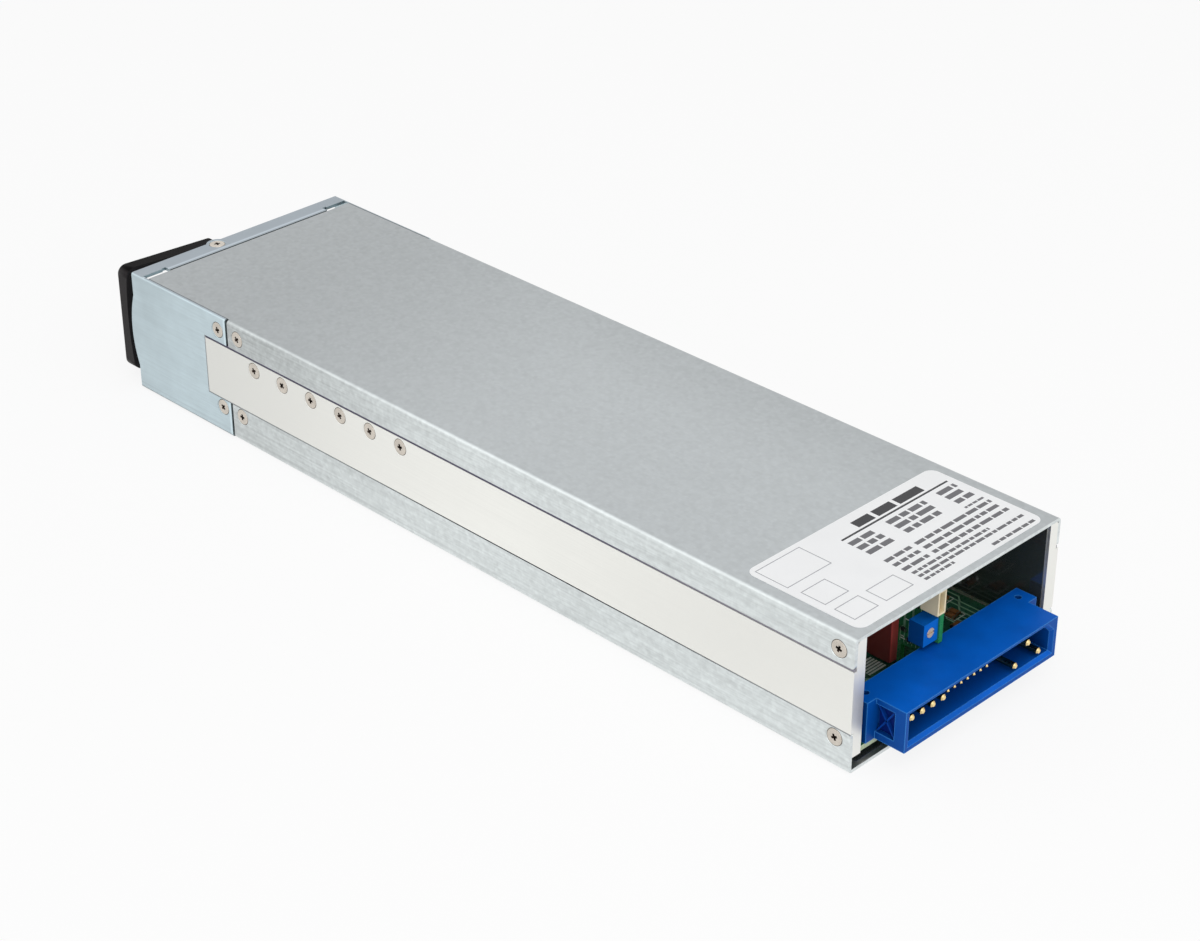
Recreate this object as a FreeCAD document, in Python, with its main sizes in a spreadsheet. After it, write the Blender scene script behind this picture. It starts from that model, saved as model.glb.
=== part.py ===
import FreeCAD, Part
import math
import os
from types import SimpleNamespace

import Sketcher

# Rack-mount power supply: a slim folded-sheet case on two aluminium side bars.
# Millimetres. X is the width, Y the length with the fan and handle at -Y and the
# connector at +Y, Z is up. The origin is the middle of the case's underside.

# Driving dimensions: name, value, meaning
SIZES = (
    ("case_length", 300.0, "case along Y"),
    ("case_width", 85.0, "case along X, over the flanges"),
    ("case_height", 41.0, "case along Z"),
    ("sheet_thick", 1.0, "steel sheet of covers, cap and panel"),
    ("bend_radius", 1.3, "outer radius of the covers' folds"),
    ("bend_inner", 0.15, "inner radius of the covers' folds"),
    ("roof_flange", 9.0, "depth of the top cover's flanges"),
    ("floor_flange", 12.0, "height of the bottom cover's flanges"),
    ("seam", 0.4, "open seam between bottom flange, strip and cap"),
    ("roof_seam", 0.7, "open seam between the top flange and the strip"),
    ("cap_seam", 1.0, "open seam between the cap and the covers' flanges"),
    ("tongue_gap", 0.6, "gap between the cap's tongues and the covers"),
    ("flange_corner", 1.0, "rounded rear corners of the flanges"),
    ("edge_gap", 0.2, "gap at butting sheet edges"),
    ("bar_thick", 4.3, "side bar through its strip"),
    ("bar_chamfer", 0.6, "side bar chamfer that clears the top cover's folds"),
    ("cap_length", 47.6, "cap side wall along Y"),
    ("notch_depth", 11.0, "notch in the cap wall for the bar's strip"),
    ("rim_depth", 5.0, "cap's top and bottom rim along Y"),
    ("panel_recess", 7.6, "front edge of the case to the front panel"),
    ("panel_flange", 8.0, "front panel's side flanges along Y"),
    ("tongue_inset", 10.0, "tongue of the cap's rim from the side"),
    ("relief_width", 1.4, "relief notch beside the tongue"),
    ("relief_depth", 0.5, "relief notch into the rim"),
    ("lip_reach", 2.2, "bow of the cap wall's front edge"),
    ("lip_height", 25.0, "height of the bowed edge"),
    ("ear_radius", 3.5, "screw ear on the cap's rim"),
    ("head_radius", 2.8, "countersunk head"),
    ("head_depth", 0.9, "countersunk head depth"),
    ("head_sink", 0.05, "head below the surface"),
    ("shank_radius", 1.5, "screw shank"),
    ("screw_clearance", 0.05, "around screws in their holes"),
    ("screw_length", 4.0, "cover and cap screws"),
    ("screw_drop", 5.0, "upper side screws below the top face"),
    ("screw_rise", 9.0, "lower side screws above the bottom face"),
    ("cap_screw_inset", 4.1, "cap screws from the cap's rear edge"),
    ("cover_screw_front", 5.4, "front cover screws from the cap's rear edge"),
    ("cover_screw_rear", 5.4, "rear cover screws from the rear edge"),
    ("sink_screw_first", 13.0, "first heat sink screw from the cap's rear edge"),
    ("sink_screw_drop", 4.0, "heat sink screws below the roof flange"),
    ("device_width", 10.0, "transistor along Y"),
    ("device_tab", 1.3, "transistor tab thickness"),
    ("device_thick", 4.5, "transistor body thickness"),
    ("device_head", 3.0, "transistor hole to the top of its tab"),
    ("device_tab_height", 6.2, "transistor tab above its body"),
    ("device_body", 9.2, "transistor body height"),
    ("leg_width", 0.8, "transistor leg along Y"),
    ("leg_thick", 0.5, "transistor leg along X"),
    ("leg_pitch", 2.54, "transistor legs apart"),
    ("clamp_thick", 2.0, "clamp strip along X"),
    ("clamp_height", 5.0, "clamp strip along Z"),
    ("pivot_side", 9.7, "handle pivot to the right of the middle"),
    ("pivot_setback", 2.0, "handle pivot behind the front edge"),
    ("pivot_length", 6.3, "pivot screw"),
    ("handle_inset", 2.6, "outer face of the grip from the case's side"),
    ("handle_front", 13.4, "pivot to the front of the grip"),
    ("handle_lean", 3.6, "how far the pivot end lies behind the grip's front"),
    ("handle_drop", 1.4, "handle arms below the roof sheet and above the floor sheet"),
    ("handle_corner", 3.0, "rounded outer corners of the handle"),
    ("handle_edge", 0.8, "softened edges of the handle"),
    ("arm_thick", 2.5, "handle arm along Z"),
    ("arm_depth", 4.7, "handle arm along Y"),
    ("grip_width", 4.9, "grip along X"),
    ("grip_waist", 1.2, "hollow at the back of the grip"),
    ("boss_radius", 3.9, "pivot boss"),
    ("boss_gap", 0.3, "pivot boss below the cap's rim"),
    ("fan_roof_gap", 0.5, "fan to the roof and floor sheets"),
    ("fan_depth", 28.0, "fan along Y"),
    ("fan_side_gap", 1.1, "fan to the panel's flange"),
    ("fan_wall", 0.8, "thinnest wall of the fan housing"),
    ("fan_corner", 2.5, "fan corner radius"),
    ("fan_hole_inset", 3.0, "fan screws from the fan's sides"),
    ("fan_screw_length", 9.0, "fan screw"),
    ("hub_radius", 9.0, "impeller hub"),
    ("hub_wall", 1.2, "impeller hub wall"),
    ("hub_start", 1.0, "hub face behind the fan's front"),
    ("hub_gap", 1.5, "hub rim to the motor plate"),
    ("motor_plate", 3.0, "motor plate and struts along Y"),
    ("strut_width", 2.4, "struts of the fan housing"),
    ("tip_gap", 0.6, "blade tips to the duct"),
    ("blade_start", 2.0, "blades behind the fan's front"),
    ("blade_chord", 17.0, "blades along Y"),
    ("blade_sweep", 12.0, "blades around the hub"),
    ("blade_camber", 2.2, "bow of the blades"),
    ("blade_thick", 1.1, "blade thickness"),
    ("bearing_radius", 2.2, "sleeve bearing"),
    ("bearing_length", 13.0, "sleeve bearing along Y"),
    ("tube_wall", 1.0, "bearing tube wall"),
    ("shaft_radius", 1.0, "fan shaft"),
    ("shaft_clearance", 0.05, "shaft in its bearing"),
    ("stator_gap", 0.9, "stator to the hub's inside"),
    ("hex_flat", 4.2, "grille hole across flats"),
    ("hex_web", 0.9, "grille web between holes"),
    ("grille_inset", 0.6, "grille outline inside the fan duct"),
    ("light_radius", 1.5, "status light pipe"),
    ("light_lens", 2.2, "status light lens"),
    ("light_lens_depth", 0.8, "lens in front of the panel"),
    ("light_length", 6.0, "light pipe behind its lens"),
    ("light_pitch", 6.0, "status lights apart"),
    ("light_side", 24.0, "status lights from the middle"),
    ("label_margin", 4.3, "rating label from the case's sides"),
    ("label_length", 39.0, "rating label along Y"),
    ("label_inset", 2.2, "rating label from the rear edge"),
    ("label_corner", 3.0, "rating label corner radius"),
    ("label_thick", 0.15, "rating label"),
    ("board_thick", 1.6, "main board"),
    ("board_rise", 3.7, "main board above the floor sheet"),
    ("board_gap", 0.3, "main board to the side bars"),
    ("board_front", 42.0, "main board from the front edge"),
    ("board_rear", 0.5, "main board from the rear edge"),
    ("film_thick", 0.25, "insulation film"),
    ("film_hole", 3.3, "film hole round a standoff"),
    ("film_margin", 1.0, "film from the board's edge and the sheet above"),
    ("film_start", 140.0, "side film from the front edge"),
    ("standoff_radius", 2.7, "board standoff"),
    ("standoff_inset", 4.2, "standoffs from the side bars"),
    ("standoff_first", 49.0, "front standoffs from the front edge"),
    ("standoff_last", 14.0, "rear standoffs from the rear edge"),
    ("board_head_radius", 2.6, "board screw head"),
    ("board_head_height", 1.7, "board screw head"),
    ("board_shank", 1.25, "board screw shank"),
    ("board_screw_reach", 3.0, "board screw into its standoff"),
    ("plug_gap", 2.7, "connector's ears to the side bars, were it in the middle"),
    ("plug_side", 0.6, "connector right of the middle"),
    ("plug_height", 12.5, "connector above the board"),
    ("plug_depth", 6.8, "connector body along Y"),
    ("plug_inset", 0.2, "connector body inside the rear edge"),
    ("ear_width", 3.6, "connector's ears beside the shroud"),
    ("shroud_reach", 9.8, "shroud past the connector body"),
    ("shroud_wall", 2.2, "shroud's lower and end walls"),
    ("shroud_roof", 1.7, "shroud's upper wall"),
    ("shroud_key", 2.4, "keyed corner inside the shroud"),
    ("mouth_chamfer", 0.95, "lead-in around the shroud's mouth"),
    ("shroud_floor", 1.2, "shroud floor in front of the body"),
    ("core_depth", 6.2, "coring in the shroud's ends along Y"),
    ("core_cut", 1.6, "coring in the shroud's ends along X"),
    ("plug_screw_inset", 3.5, "connector screws from the ears' ends"),
    ("plug_screw_back", 3.8, "connector screws from the rear edge"),
    ("plug_screw_reach", 6.0, "connector screws into the ears"),
    ("ear_hole", 1.0, "open hole above a connector screw"),
    ("power_radius", 0.95, "power pin"),
    ("signal_radius", 0.45, "signal pin"),
    ("pin_seat", 4.0, "pins in the housing"),
    ("pin_dome", 0.35, "rounded pin tips"),
    ("pin_fit", 0.02, "pins in their holes"),
    ("pin_tip", 0.8, "power pin tips inside the mouth"),
    ("pin_row_pitch", 5.0, "pin rows apart"),
    ("power_inset", 3.8, "first power pin from the shroud's end"),
    ("power_pitch", 4.25, "power pins apart"),
    ("signal_gap", 3.3, "first signal pin from the last power pin"),
    ("signal_pitch", 2.7, "signal pins apart"),
    ("signal_short", 1.0, "signal pin tips behind the power pins"),
    ("mains_inset", 11.3, "middle mains pin from the shroud's other end"),
    ("mains_pitch", 5.1, "mains pins apart"),
    ("control_thick", 1.6, "control board along X"),
    ("control_side", 0.5, "control board's left face from the middle"),
    ("control_length", 13.3, "control board along Y"),
    ("control_back", 4.6, "control board from the rear edge"),
    ("control_top", 2.5, "control board below the top cover"),
    ("control_gap", 0.3, "control board to the connector"),
    ("control_lift", 7.2, "control board's lower edge above the main board"),
    ("control_leg", 2.4, "rear leg of the control board along Y"),
    ("control_toe", 1.2, "front leg of the control board along Y"),
    ("trimmer_width", 5.9, "trimmer along X"),
    ("trimmer_depth", 5.0, "trimmer along Y"),
    ("trimmer_height", 6.7, "trimmer along Z"),
    ("trimmer_lift", 1.4, "trimmer above the connector"),
    ("trimmer_back", 0.5, "trimmer from the control board's edge"),
    ("trimmer_head", 1.45, "trimmer screw head radius"),
    ("trimmer_head_depth", 0.8, "trimmer screw head"),
    ("trimmer_shank", 0.7, "trimmer screw shank radius"),
    ("trimmer_shank_depth", 2.0, "trimmer screw shank"),
    ("trimmer_slot", 0.5, "slot width and depth"),
    ("trimmer_clearance", 0.06, "trimmer screw in its body"),
    ("header_width", 3.3, "header along X"),
    ("header_depth", 5.8, "header along Y"),
    ("header_gap", 2.6, "header above the trimmer"),
    ("header_drop", 0.5, "header below the control board's top edge"),
    ("header_overhang", 1.6, "header past the control board's edge"),
    ("header_wall", 0.6, "header wall"),
    ("header_cavity", 3.4, "header cavity depth"),
    ("film_cap_width", 5.0, "film capacitor along X"),
    ("film_cap_length", 18.0, "film capacitor along Y"),
    ("film_cap_height", 16.0, "film capacitor along Z"),
    ("film_cap_side", 1.3, "film capacitor's left face from the middle"),
    ("film_cap_back", 18.9, "film capacitor from the rear edge"),
    ("film_cap_round", 0.7, "rounded edges of the film capacitor's dipped coat"),
    ("part_radius", 0.8, "rounded edges of the moulded parts"),
    ("box_cap_width", 13.0, "suppression capacitor along X"),
    ("box_cap_length", 26.0, "suppression capacitor along Y"),
    ("box_cap_height", 22.0, "suppression capacitor along Z"),
    ("box_cap_margin", 7.2, "suppression capacitor from the right side bar"),
    ("relay_width", 16.0, "relay along X"),
    ("relay_length", 20.0, "relay along Y"),
    ("relay_height", 16.0, "relay along Z"),
    ("relay_margin", 10.2, "relay from the right side bar"),
    ("bridge_width", 24.0, "bridge rectifier along X"),
    ("bridge_depth", 5.0, "bridge rectifier along Y"),
    ("bridge_height", 20.0, "bridge rectifier along Z"),
    ("bridge_side", 2.0, "bridge rectifier from the middle"),
    ("bridge_back", 1.5, "bridge rectifier from the board's front edge"),
    ("bulk_gap", 2.0, "bulk capacitors apart"),
    ("bulk_drop", 3.7, "bulk capacitors below the roof sheet"),
    ("bulk_margin", 3.2, "bulk capacitors from the side bars"),
    ("output_radius", 5.0, "output capacitor"),
    ("output_height", 20.0, "output capacitor"),
    ("output_pitch", 12.5, "output capacitors apart"),
    ("output_margin", 7.2, "first output capacitors from the left side bar"),
    ("can_groove", 0.6, "groove of a capacitor can"),
    ("can_rim", 2.6, "groove above a can's foot"),
    ("wind_thick", 0.9, "winding on a ring core"),
    ("wind_fit", 0.05, "winding to its core"),
    ("choke_inner", 6.0, "filter choke core"),
    ("choke_outer", 12.0, "filter choke core"),
    ("choke_height", 11.0, "filter choke core"),
    ("choke_side", 20.0, "filter choke left of the middle"),
    ("boost_inner", 8.0, "boost inductor core"),
    ("boost_outer", 16.0, "boost inductor core"),
    ("boost_height", 15.0, "boost inductor core"),
    ("coil_inner", 5.5, "output inductor core"),
    ("coil_outer", 10.5, "output inductor core"),
    ("coil_height", 13.0, "output inductor core"),
    ("coil_side", 22.0, "output inductor left of the middle"),
    ("core_width", 38.0, "transformer core along X"),
    ("core_height", 28.0, "transformer core along Z"),
    ("core_length", 14.0, "transformer core along Y"),
    ("core_leg", 10.0, "transformer middle leg along X"),
    ("core_yoke", 5.0, "transformer yoke and outer legs"),
    ("bobbin_gap", 0.3, "winding to the core's window"),
    ("core_side", 10.0, "transformer right of the middle"),
    ("fuse_radius", 2.6, "fuse body"),
    ("fuse_cap_radius", 3.0, "fuse end cap"),
    ("fuse_cap_length", 5.0, "fuse end cap"),
    ("fuse_length", 20.0, "fuse along Y"),
    ("fuse_side", 7.0, "fuse right of the middle"),
)

# Counts of like pieces
DEVICES_PER_BAR = 6
BLADES = 7
STRUT_BARS = 2
POWER_PINS = 4
SIGNAL_PINS = 7
BULK_CAPACITORS = 3
OUTPUT_ROWS = 2
OUTPUT_COLUMNS = 3
STATUS_LIGHTS = 3
WINDINGS = 2
WINDING_ANGLE = 150.0

# Places along the case as shares of its length, from the front edge
SINK_PITCH_SHARE = 0.045
BOOST_SHARE = 0.273
BULK_SHARE = 0.513
STANDOFF_SHARE = 0.567
CORE_SHARE = 0.627
OUTPUT_SHARE = 0.713
RELAY_SHARE = 0.74
FILTER_SHARE = 0.837
CHOKE_SHARE = 0.847

X_AXIS = FreeCAD.Vector(1, 0, 0)
Y_AXIS = FreeCAD.Vector(0, 1, 0)
Z_AXIS = FreeCAD.Vector(0, 0, 1)

doc = FreeCAD.newDocument("rack_power_supply")
sheet = doc.addObject("Spreadsheet::Sheet", "Sizes")
for row, (alias, value, meaning) in enumerate(SIZES, start=1):
    sheet.set(f"A{row}", meaning)
    sheet.set(f"B{row}", str(value))
    sheet.setAlias(f"B{row}", alias)
doc.recompute()


class Size:
    """A length known both as an expression on the sheet and as a number."""

    def __init__(self, text, number):
        self.text = text
        self.number = number

    def joined(self, sign, other, number):
        return Size(f"({self.text} {sign} {other.text})", number)

    def __add__(self, other):
        other = as_size(other)
        return self.joined("+", other, self.number + other.number)

    def __sub__(self, other):
        other = as_size(other)
        return self.joined("-", other, self.number - other.number)

    def __mul__(self, other):
        other = as_size(other)
        return self.joined("*", other, self.number * other.number)

    def __truediv__(self, other):
        other = as_size(other)
        return self.joined("/", other, self.number / other.number)

    def __neg__(self):
        return Size(f"(0 - {self.text})", -self.number)

    def __float__(self):
        return self.number


def as_size(value):
    return value if isinstance(value, Size) else Size(repr(float(value)), float(value))


d = SimpleNamespace(**{alias: Size(f"Sizes.{alias}", float(sheet.get(alias))) for alias, _, _ in SIZES})
ZERO = as_size(0)

# Main planes of the case
half_width = d.case_width / 2
front = -(d.case_length / 2)
rear = d.case_length / 2
mid_height = d.case_height / 2
roof_under = d.case_height - d.sheet_thick
floor_top = d.sheet_thick
wall_inner = half_width - d.sheet_thick
bar_inner = half_width - d.bar_thick
cap_rear = front + d.cap_length
notch_front = cap_rear - d.notch_depth
flange_front = cap_rear + d.cap_seam
rim_rear = front + d.rim_depth
bar_front = notch_front + d.seam
panel_front = front + d.panel_recess
panel_rear = panel_front + d.sheet_thick
roof_edge = d.case_height - d.roof_flange
board_under = floor_top + d.board_rise
board_top = board_under + d.board_thick
board_side = bar_inner - d.board_gap
board_start = front + d.board_front
board_end = rear - d.board_rear
pivot_y = front + d.pivot_setback
sink_level = roof_edge - d.sink_screw_drop
fan_size = roof_under - floor_top - d.fan_roof_gap * 2
fan_bore = fan_size / 2 - d.fan_wall
fan_hole_side = fan_size / 2 - d.fan_hole_inset
fan_x = -(wall_inner - d.sheet_thick - d.fan_side_gap - fan_size / 2)


def along(share):
    """Place on Y at a share of the case's length from its front edge."""
    return front + d.case_length * share



# Sketches, features and nodes

def bind(thing, name, size):
    """Tie a property to the sheet."""
    thing.setExpression(name, as_size(size).text)


def new_body(name):
    body = doc.addObject("PartDesign::Body", name)
    body.Label = name
    return body


def sketch_on(body, plane, level=ZERO):
    """Sketch on an origin plane of a body, moved along the plane's normal."""
    sketch = body.newObject("Sketcher::SketchObject", f"{body.Name}_sketch")
    origin_plane = next(item for item in body.Origin.OriginFeatures if item.Role == plane)
    sketch.AttachmentSupport = [(origin_plane, "")]
    sketch.MapMode = "FlatFace"
    bind(sketch, "AttachmentOffset.Base.z", level)
    return sketch


def fix_point(sketch, line, end, place):
    """Tie one point of a sketch to its place across and up."""
    for kind, axis, size in zip(("DistanceX", "DistanceY"), (-2, -1), place):
        size = as_size(size)
        if size.text == ZERO.text:
            sketch.addConstraint(Sketcher.Constraint("PointOnObject", line, end, axis))
        else:
            tie = sketch.addConstraint(Sketcher.Constraint(kind, -1, 1, line, end, size.number))
            sketch.setExpression(f"Constraints[{tie}]", size.text)


def spot(place):
    return FreeCAD.Vector(float(place[0]), float(place[1]), 0)


def polygon(sketch, corners):
    first = sketch.GeometryCount
    following = corners[1:] + corners[:1]
    for start, end in zip(corners, following):
        sketch.addGeometry(Part.LineSegment(spot(start), spot(end)), False)
    for step, corner in enumerate(corners):
        after = first + (step + 1) % len(corners)
        sketch.addConstraint(Sketcher.Constraint("Coincident", first + step, 2, after, 1))
        fix_point(sketch, first + step, 1, corner)


def rectangle(sketch, low, high):
    polygon(sketch, [low, (high[0], low[1]), high, (low[0], high[1])])


def circle(sketch, centre, radius):
    ring = sketch.addGeometry(Part.Circle(spot(centre), Z_AXIS, float(radius)), False)
    fix_point(sketch, ring, 3, centre)
    tie = sketch.addConstraint(Sketcher.Constraint("Radius", ring, float(radius)))
    bind(sketch, f"Constraints[{tie}]", radius)


def bow(sketch, start, crown, end):
    """Closed segment: an arc from start to end over a crown, and its chord."""
    if (spot(crown) - spot(start)).cross(spot(end) - spot(crown)).z < 0:
        start, end = end, start
    arc = sketch.addGeometry(Part.Arc(spot(start), spot(crown), spot(end)), False)
    chord = sketch.addGeometry(Part.LineSegment(spot(start), spot(end)), False)
    for line_end, corner in ((1, start), (2, end)):
        fix_point(sketch, chord, line_end, corner)
        sketch.addConstraint(Sketcher.Constraint("Coincident", chord, line_end, arc, line_end))
    top = sketch.addGeometry(Part.Point(spot(crown)), True)
    fix_point(sketch, top, 1, crown)
    sketch.addConstraint(Sketcher.Constraint("PointOnObject", top, 1, arc))


def add_feature(body, kind, sketch):
    feature = body.newObject(f"PartDesign::{kind}", f"{body.Name}_{kind.lower()}")
    feature.Profile = sketch
    body.Tip = feature
    return feature


def pad(body, sketch, length, middle=False):
    feature = add_feature(body, "Pad", sketch)
    feature.Midplane = middle
    bind(feature, "Length", length)


def pocket(body, sketch, length, turned_over=False, middle=False):
    feature = add_feature(body, "Pocket", sketch)
    feature.Midplane = middle
    feature.Reversed = turned_over
    bind(feature, "Length", length)


def lies_at(edge, **places):
    """True for an edge whose two ends have the named coordinates."""
    ends = [vertex.Point for vertex in edge.Vertexes]
    near = (abs(getattr(point, axis) - float(place)) < 1e-4 for point in ends for axis, place in places.items())
    return len(ends) == 2 and all(near)


def work_edges(body, kind, prop, size, wanted):
    """Fillet or chamfer every edge that passes the test."""
    doc.recompute()
    base = body.Tip
    names = [f"Edge{number}" for number, edge in enumerate(base.Shape.Edges, start=1) if wanted(edge)]
    feature = body.newObject(f"PartDesign::{kind}", f"{body.Name}_{kind.lower()}")
    feature.Base = (base, names)
    bind(feature, prop, size)
    body.Tip = feature


def round_edges(body, radius, *wanted):
    """Fillet every edge that lies at one of the wanted coordinates."""
    work_edges(body, "Fillet", "Radius", radius, lambda edge: any(lies_at(edge, **places) for places in wanted))


def along_y(body, shapes, start, end):
    """Pad shapes drawn across X and Z from one place on Y to another."""
    sketch = sketch_on(body, "XZ_Plane", -end)
    for low, high in shapes:
        rectangle(sketch, low, high)
    pad(body, sketch, end - start)


def turned(name, profile, angle=360.0):
    """Body turned about Z from a half profile of radius and height."""
    body = new_body(name)
    sketch = sketch_on(body, "XZ_Plane")
    polygon(sketch, profile)
    feature = add_feature(body, "Revolution", sketch)
    feature.ReferenceAxis = (sketch, ["V_Axis"])
    feature.Angle = angle
    return body


def block(name, low, high, radius=None, foot=False):
    """Moulded block with rounded upright and top edges, and lower edges for a foot."""
    body = new_body(name)
    sketch = sketch_on(body, "XY_Plane", low[2])
    rectangle(sketch, low[:2], high[:2])
    pad(body, sketch, high[2] - low[2])
    if radius is not None:
        corners = [{"x": x, "y": y} for x in (low[0], high[0]) for y in (low[1], high[1])]
        levels = (low[2], high[2]) if foot else (high[2],)
        sides = [{"x": x, "z": z} for x in (low[0], high[0]) for z in levels]
        ends = [{"y": y, "z": z} for y in (low[1], high[1]) for z in levels]
        round_edges(body, radius, *corners, *sides, *ends)
    return body


def place(thing, position, rotation=None):
    if rotation is not None:
        thing.Placement = FreeCAD.Placement(FreeCAD.Vector(), rotation)
    for axis, size in zip("xyz", position):
        bind(thing, f"Placement.Base.{axis}", size)
    return thing


def copies(name, master, placements):
    """Group of separate copies of one master piece."""
    doc.recompute()
    group = doc.addObject("Part::Feature", name)
    solids = []
    for placement in placements:
        solid = master.Shape.copy()
        solid.Placement = placement.multiply(solid.Placement)
        solids.append(solid)
    group.Shape = Part.makeCompound(solids)
    group.Label = name
    return group


def grouped(name, pieces):
    group = doc.addObject("Part::Compound", name)
    group.Links = pieces
    group.Label = name
    return group


def cut(name, base, *tools):
    tool = tools[0] if len(tools) == 1 else grouped(f"{name}_cutters", list(tools))
    node = doc.addObject("Part::Cut", name)
    node.Base = base
    node.Tool = tool
    node.Label = name
    return node


def fused(name, *pieces):
    node = doc.addObject("Part::MultiFuse", name)
    node.Shapes = list(pieces)
    node.Label = name
    return node


def at(x, y, z, heading=None):
    """Placement at a point; a screw drawn downwards points along heading."""
    turn = FreeCAD.Rotation() if heading is None else FreeCAD.Rotation(-Z_AXIS, heading)
    return FreeCAD.Placement(FreeCAD.Vector(float(x), float(y), float(z)), turn)


FACING_REAR = FreeCAD.Rotation(X_AXIS, -90)


# Screws and the holes they sit in

def screw_profile(length, grow=ZERO):
    """Countersunk screw drawn from its surface downwards; grow makes its hole."""
    cone_top = -d.head_sink
    cone_end = cone_top - d.head_depth
    tip = -(length + grow)
    return [
        (ZERO, cone_top),
        (d.head_radius + grow, cone_top),
        (d.shank_radius + grow, cone_end),
        (d.shank_radius + grow, tip),
        (ZERO, tip),
    ]


def hole_profile(length):
    mouth = d.head_sink + d.sheet_thick
    body = screw_profile(length, d.screw_clearance)
    return [(ZERO, mouth), (body[1][0], mouth)] + body[1:]


def screws_and_holes(name, length, placements):
    screws = copies(name, turned(f"{name}_one", screw_profile(length)), placements)
    holes = copies(f"{name}_holes", turned(f"{name}_hole", hole_profile(length)), placements)
    return screws, holes


def side_places(rows, heights):
    """Screw places on both long sides, each heading into the case."""
    return [
        at(float(half_width) * side, y, z, -X_AXIS * side)
        for side in (1, -1)
        for y in rows
        for z in heights
    ]


upper = d.case_height - d.screw_drop
lower = d.screw_rise
sink_first = cap_rear + d.sink_screw_first
sink_rows = [sink_first + d.case_length * SINK_PITCH_SHARE * step for step in range(DEVICES_PER_BAR)]
cover_screws, cover_holes = screws_and_holes(
    "cover_screws",
    d.screw_length,
    side_places((cap_rear + d.cover_screw_front, rear - d.cover_screw_rear), (upper, lower)),
)
cap_screws, cap_holes = screws_and_holes(
    "cap_screws", d.screw_length, side_places((cap_rear - d.cap_screw_inset,), (upper, lower))
)
sink_screws, sink_holes = screws_and_holes(
    "heat_sink_screws",
    d.bar_thick + d.device_tab + d.clamp_thick,
    side_places(sink_rows, (sink_level,)),
)
pivot_screws, pivot_holes = screws_and_holes(
    "handle_pivot_screws",
    d.pivot_length,
    [at(d.pivot_side, pivot_y, d.case_height, -Z_AXIS), at(d.pivot_side, pivot_y, 0, Z_AXIS)],
)
fan_screw_places = [
    at(fan_x + fan_hole_side * i, panel_front, mid_height + fan_hole_side * k, Y_AXIS)
    for i in (-1, 1)
    for k in (-1, 1)
]
fan_screws, fan_holes = screws_and_holes("fan_screws", d.fan_screw_length, fan_screw_places)


# Folded sheet case

def make_cover(name, sheet_level, flange_level, flange_height, outer, inner, free_edge):
    """Sheet with two folded side flanges and a narrow part inside the cap."""
    body = new_body(f"{name}_blank")
    narrow = wall_inner - d.edge_gap
    outline = sketch_on(body, "XY_Plane", sheet_level)
    polygon(outline, [
        (-narrow, panel_front),
        (narrow, panel_front),
        (narrow, flange_front),
        (half_width, flange_front),
        (half_width, rear),
        (-half_width, rear),
        (-half_width, flange_front),
        (-narrow, flange_front),
    ])
    pad(body, outline, d.sheet_thick)
    flanges = sketch_on(body, "XY_Plane", flange_level)
    rectangle(flanges, (wall_inner, flange_front), (half_width, rear))
    rectangle(flanges, (-half_width, flange_front), (-wall_inner, rear))
    pad(body, flanges, flange_height)
    round_edges(body, d.bend_radius, {"x": half_width, "z": outer}, {"x": -half_width, "z": outer})
    round_edges(body, d.bend_inner, {"x": wall_inner, "z": inner}, {"x": -wall_inner, "z": inner})
    round_edges(body, d.flange_corner, {"y": rear, "z": free_edge})
    return cut(name, body, cover_holes)


def make_side_bar(name, side):
    """Aluminium bar down to the board's level, with a strip flush between the flanges."""
    body = new_body(f"{name}_blank")
    strip_low = d.floor_flange + d.seam
    strip_high = roof_edge - d.roof_seam
    section = [
        (bar_inner, board_under),
        (wall_inner, board_under),
        (wall_inner, strip_low),
        (half_width, strip_low),
        (half_width, strip_high),
        (wall_inner, strip_high),
        (wall_inner, roof_under - d.bar_chamfer),
        (wall_inner - d.bar_chamfer, roof_under),
        (bar_inner, roof_under),
    ]
    sketch = sketch_on(body, "XZ_Plane", -rear)
    polygon(sketch, [(x * side, z) for x, z in section])
    pad(body, sketch, rear - bar_front)
    return cut(name, body, cover_holes, cap_holes, sink_holes)


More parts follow.
